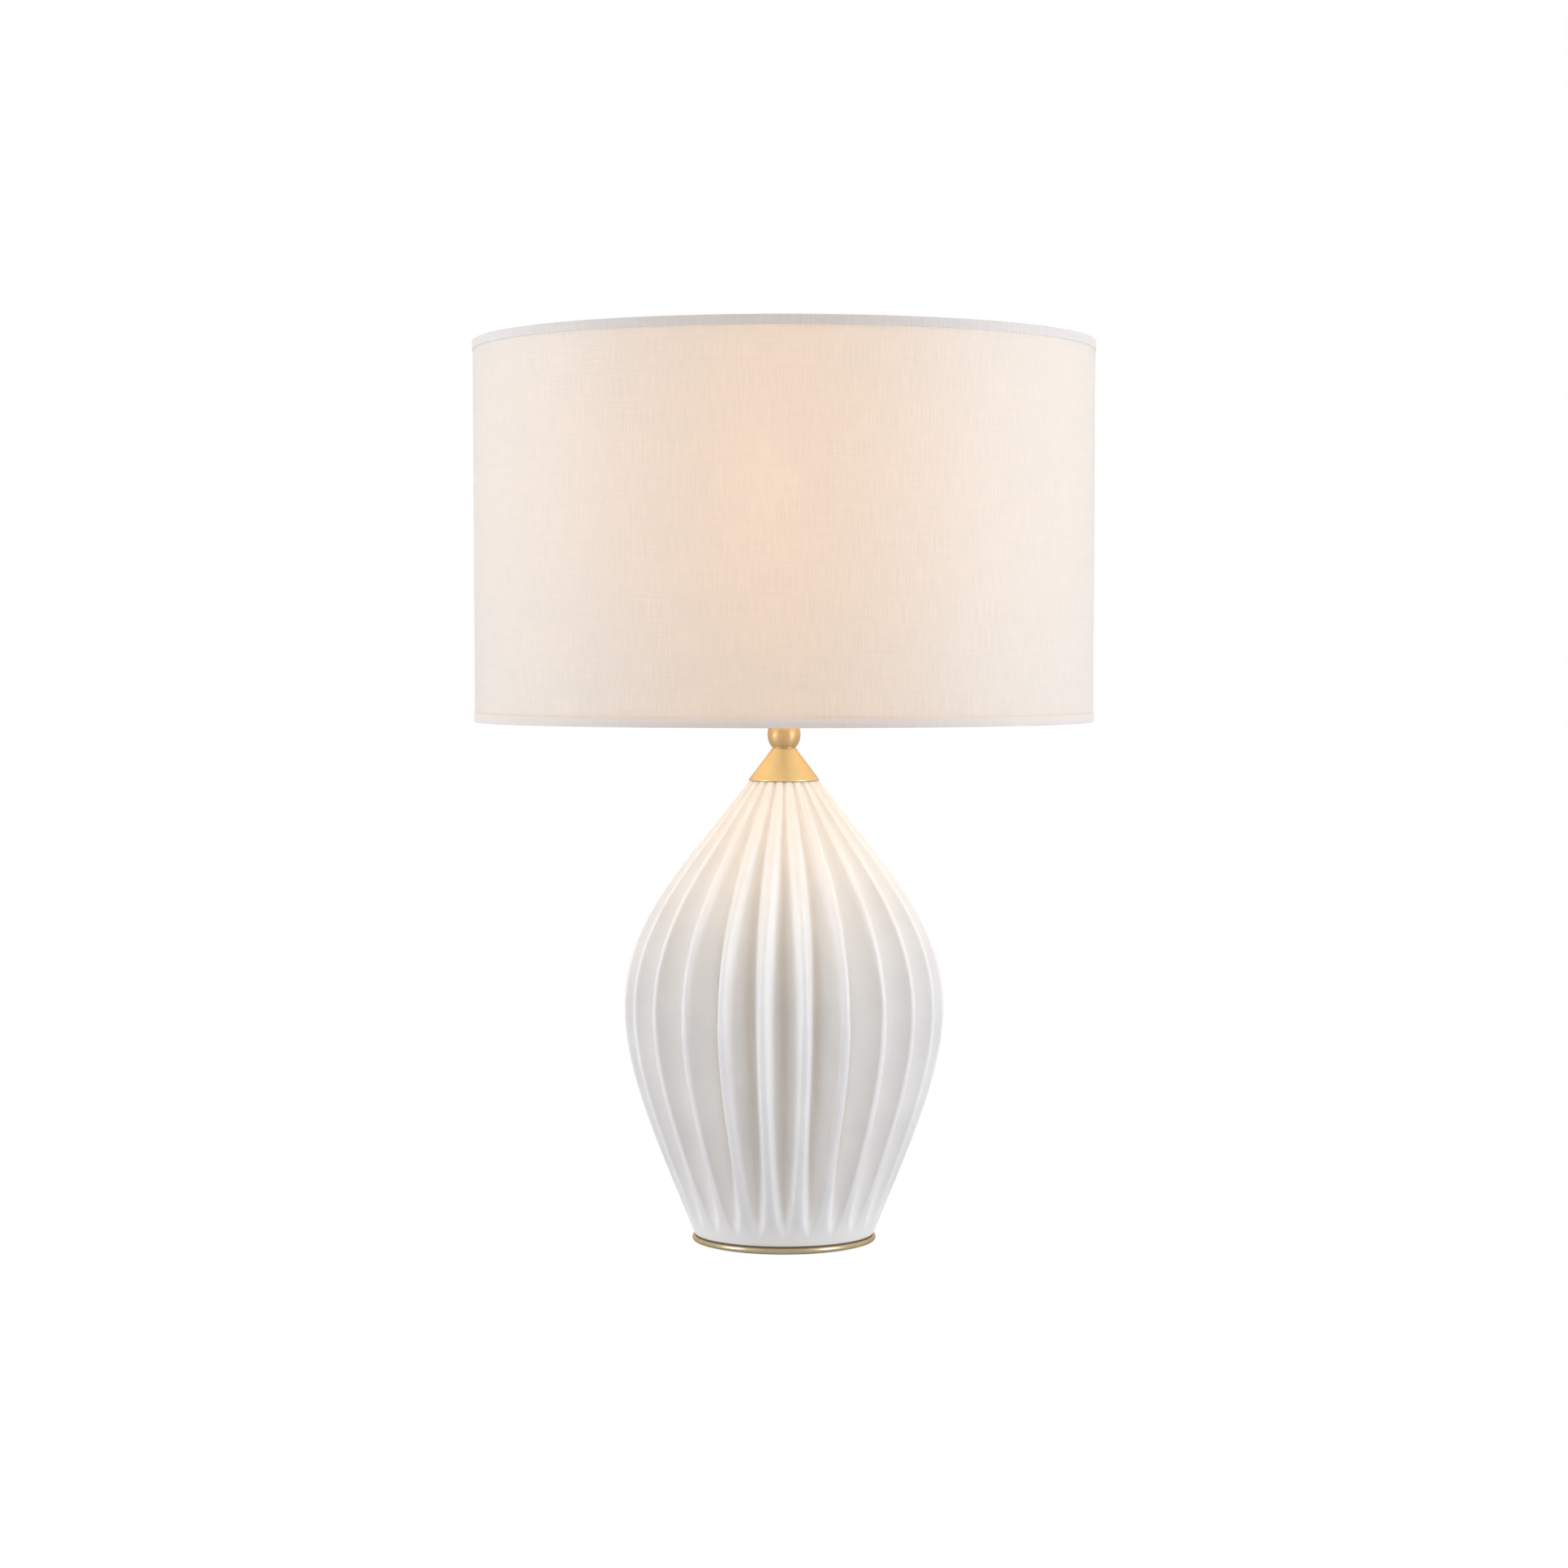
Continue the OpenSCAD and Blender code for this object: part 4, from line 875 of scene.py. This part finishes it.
# The share of light let through, and how much each of these changes it
# The aside and slant terms carry that painted light and shade into the light let through
open_weave = reckon(tree, "MULTIPLY_ADD", aside, -0.07, 0.31)
for cause, change, without in ((slub, -0.46, 1.23), (slant, -0.6, 1), (lap, -0.35, 1), (lower_rim_glow, 0.2, 1)):
    times = reckon(tree, "MULTIPLY_ADD", cause, change, without)
    open_weave = reckon(tree, "MULTIPLY", open_weave, times)
through = put(tree, "ShaderNodeBsdfTranslucent", {"Color": (1.0, 0.83, 0.65, 1)})
cloth = put(tree, "ShaderNodeMixShader", {0: open_weave, 1: shader.outputs[0], 2: through.outputs[0]})
tree.links.new(cloth.outputs[0], tree.nodes["Material Output"].inputs["Surface"])
linen_cover = piece(drum("linen_cover", 0), linen, "shade", "shade_linen")

# ---- Hems ----------------------------------------------------------------------------------
# A strip of the same linen, folded over each rim and round its hoop and glued down. It is
# several layers thick there and hides the wire, so that hardly any light comes through.
hem_h, glue_t = 6 * mm, 0.04 * mm
hem_linen, tree, shader, place = finish("hem_linen", (0.86, 0.855, 0.85), 0.85,
                                        Sheen_Weight=0.06, Sheen_Roughness=0.5)
slub, _, height = woven(tree, place, shader, streak=1.4)
# Painted light by the angle of view here too: its colour is painted warmest where it is seen squarely
aside = off_square(tree)
cloth_colour = tint(tree, slub, tint(tree, aside, (0.735, 0.68, 0.645), (0.81, 0.775, 0.75)),
                    tint(tree, aside, (0.67, 0.62, 0.585), (0.73, 0.7, 0.675)))
# Painted light: toward its upper edge the bottom strip is painted paler and warmer, for the bulb's
# light coming through the single layer there
thinning = rising(tree, height, shade_z + 1 * mm, shade_z + hem_h)
at_bottom = reckon(tree, "LESS_THAN", height, shade_z + 2 * hem_h)
single_layer_glow = reckon(tree, "MULTIPLY", thinning, at_bottom)
cloth_colour = tint(tree, single_layer_glow, cloth_colour, (0.845, 0.735, 0.665))
tree.links.new(cloth_colour, shader.inputs["Base Color"])
through = put(tree, "ShaderNodeBsdfTranslucent", {"Color": (1.0, 0.95, 0.9, 1)})
fold = put(tree, "ShaderNodeMixShader", {0: 0.1, 1: shader.outputs[0], 2: through.outputs[0]})
tree.links.new(fold.outputs[0], tree.nodes["Material Output"].inputs["Surface"])


def hem(name, z, up, node):
    """The folded strip on the rim at z; up is 1 at the bottom rim and -1 at the top."""
    deep = linen_t + liner_t + 2 * wire_r
    edge, fold_z = z + up * hem_h, z + up * hem_t
    hoop_z = fold_z + up * 2 * wire_r
    end_z = hoop_z + up * hem_t
    corners = [
        (wall_r(z) + hem_t, z, 0.8 * mm), (wall_r(edge) + hem_t, edge, 0.3 * mm),
        (wall_r(edge) + glue_t, edge, 0), (wall_r(fold_z) + glue_t, fold_z, 0.2 * mm),
        (wall_r(fold_z) - deep, fold_z, 1.2 * mm), (wall_r(hoop_z) - deep, hoop_z, 1.2 * mm),
        (wall_r(hoop_z) - linen_t - liner_t, hoop_z, 0.1 * mm),
        (wall_r(end_z) - linen_t - liner_t, end_z, 0.2 * mm),
        (wall_r(end_z) - deep - hem_t, end_z, 1.6 * mm), (wall_r(z) - deep - hem_t, z, 1.6 * mm)]
    line = eased(corners, 5)
    if up < 0:
        line.reverse()
    return piece(turned(name, line, drum_sides), hem_linen, "shade", node, crease=50)


bottom_hem = hem("bottom_hem_cloth", shade_z, 1, "bottom_hem")
top_hem = hem("top_hem_cloth", shade_top, -1, "top_hem")

# The bottom hem is notched where the three arms reach their hoop
ring_low, ring_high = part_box("fitter_ring")
hoop_low, hoop_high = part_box("bottom_hoop")
ring_mid, hoop_mid = (ring_low.z + ring_high.z) / 2, (hoop_low.z + hoop_high.z) / 2
arm_from_r, arm_to_r, notch_r = 28 * mm, wall_r(hoop_mid) - linen_t - liner_t - wire_r, 1.7 * mm
notches = []
for turn in (90, 210, 330):
    out = Vector((math.cos(math.radians(turn)), math.sin(math.radians(turn)), 0))
    arm_start, arm_end = out * arm_from_r, out * arm_to_r
    arm_start.z, arm_end.z = ring_mid, hoop_mid
    notches.append(rod(arm_start, arm_end, notch_r, 24))
bored(bottom_hem, *notches)
bottom_hem.data.set_sharp_from_angle(angle=math.radians(50))

# ---- Scene update --------------------------------------------------------------------------
# The scene is brought up to date after the dressing.
bpy.context.view_layer.update()
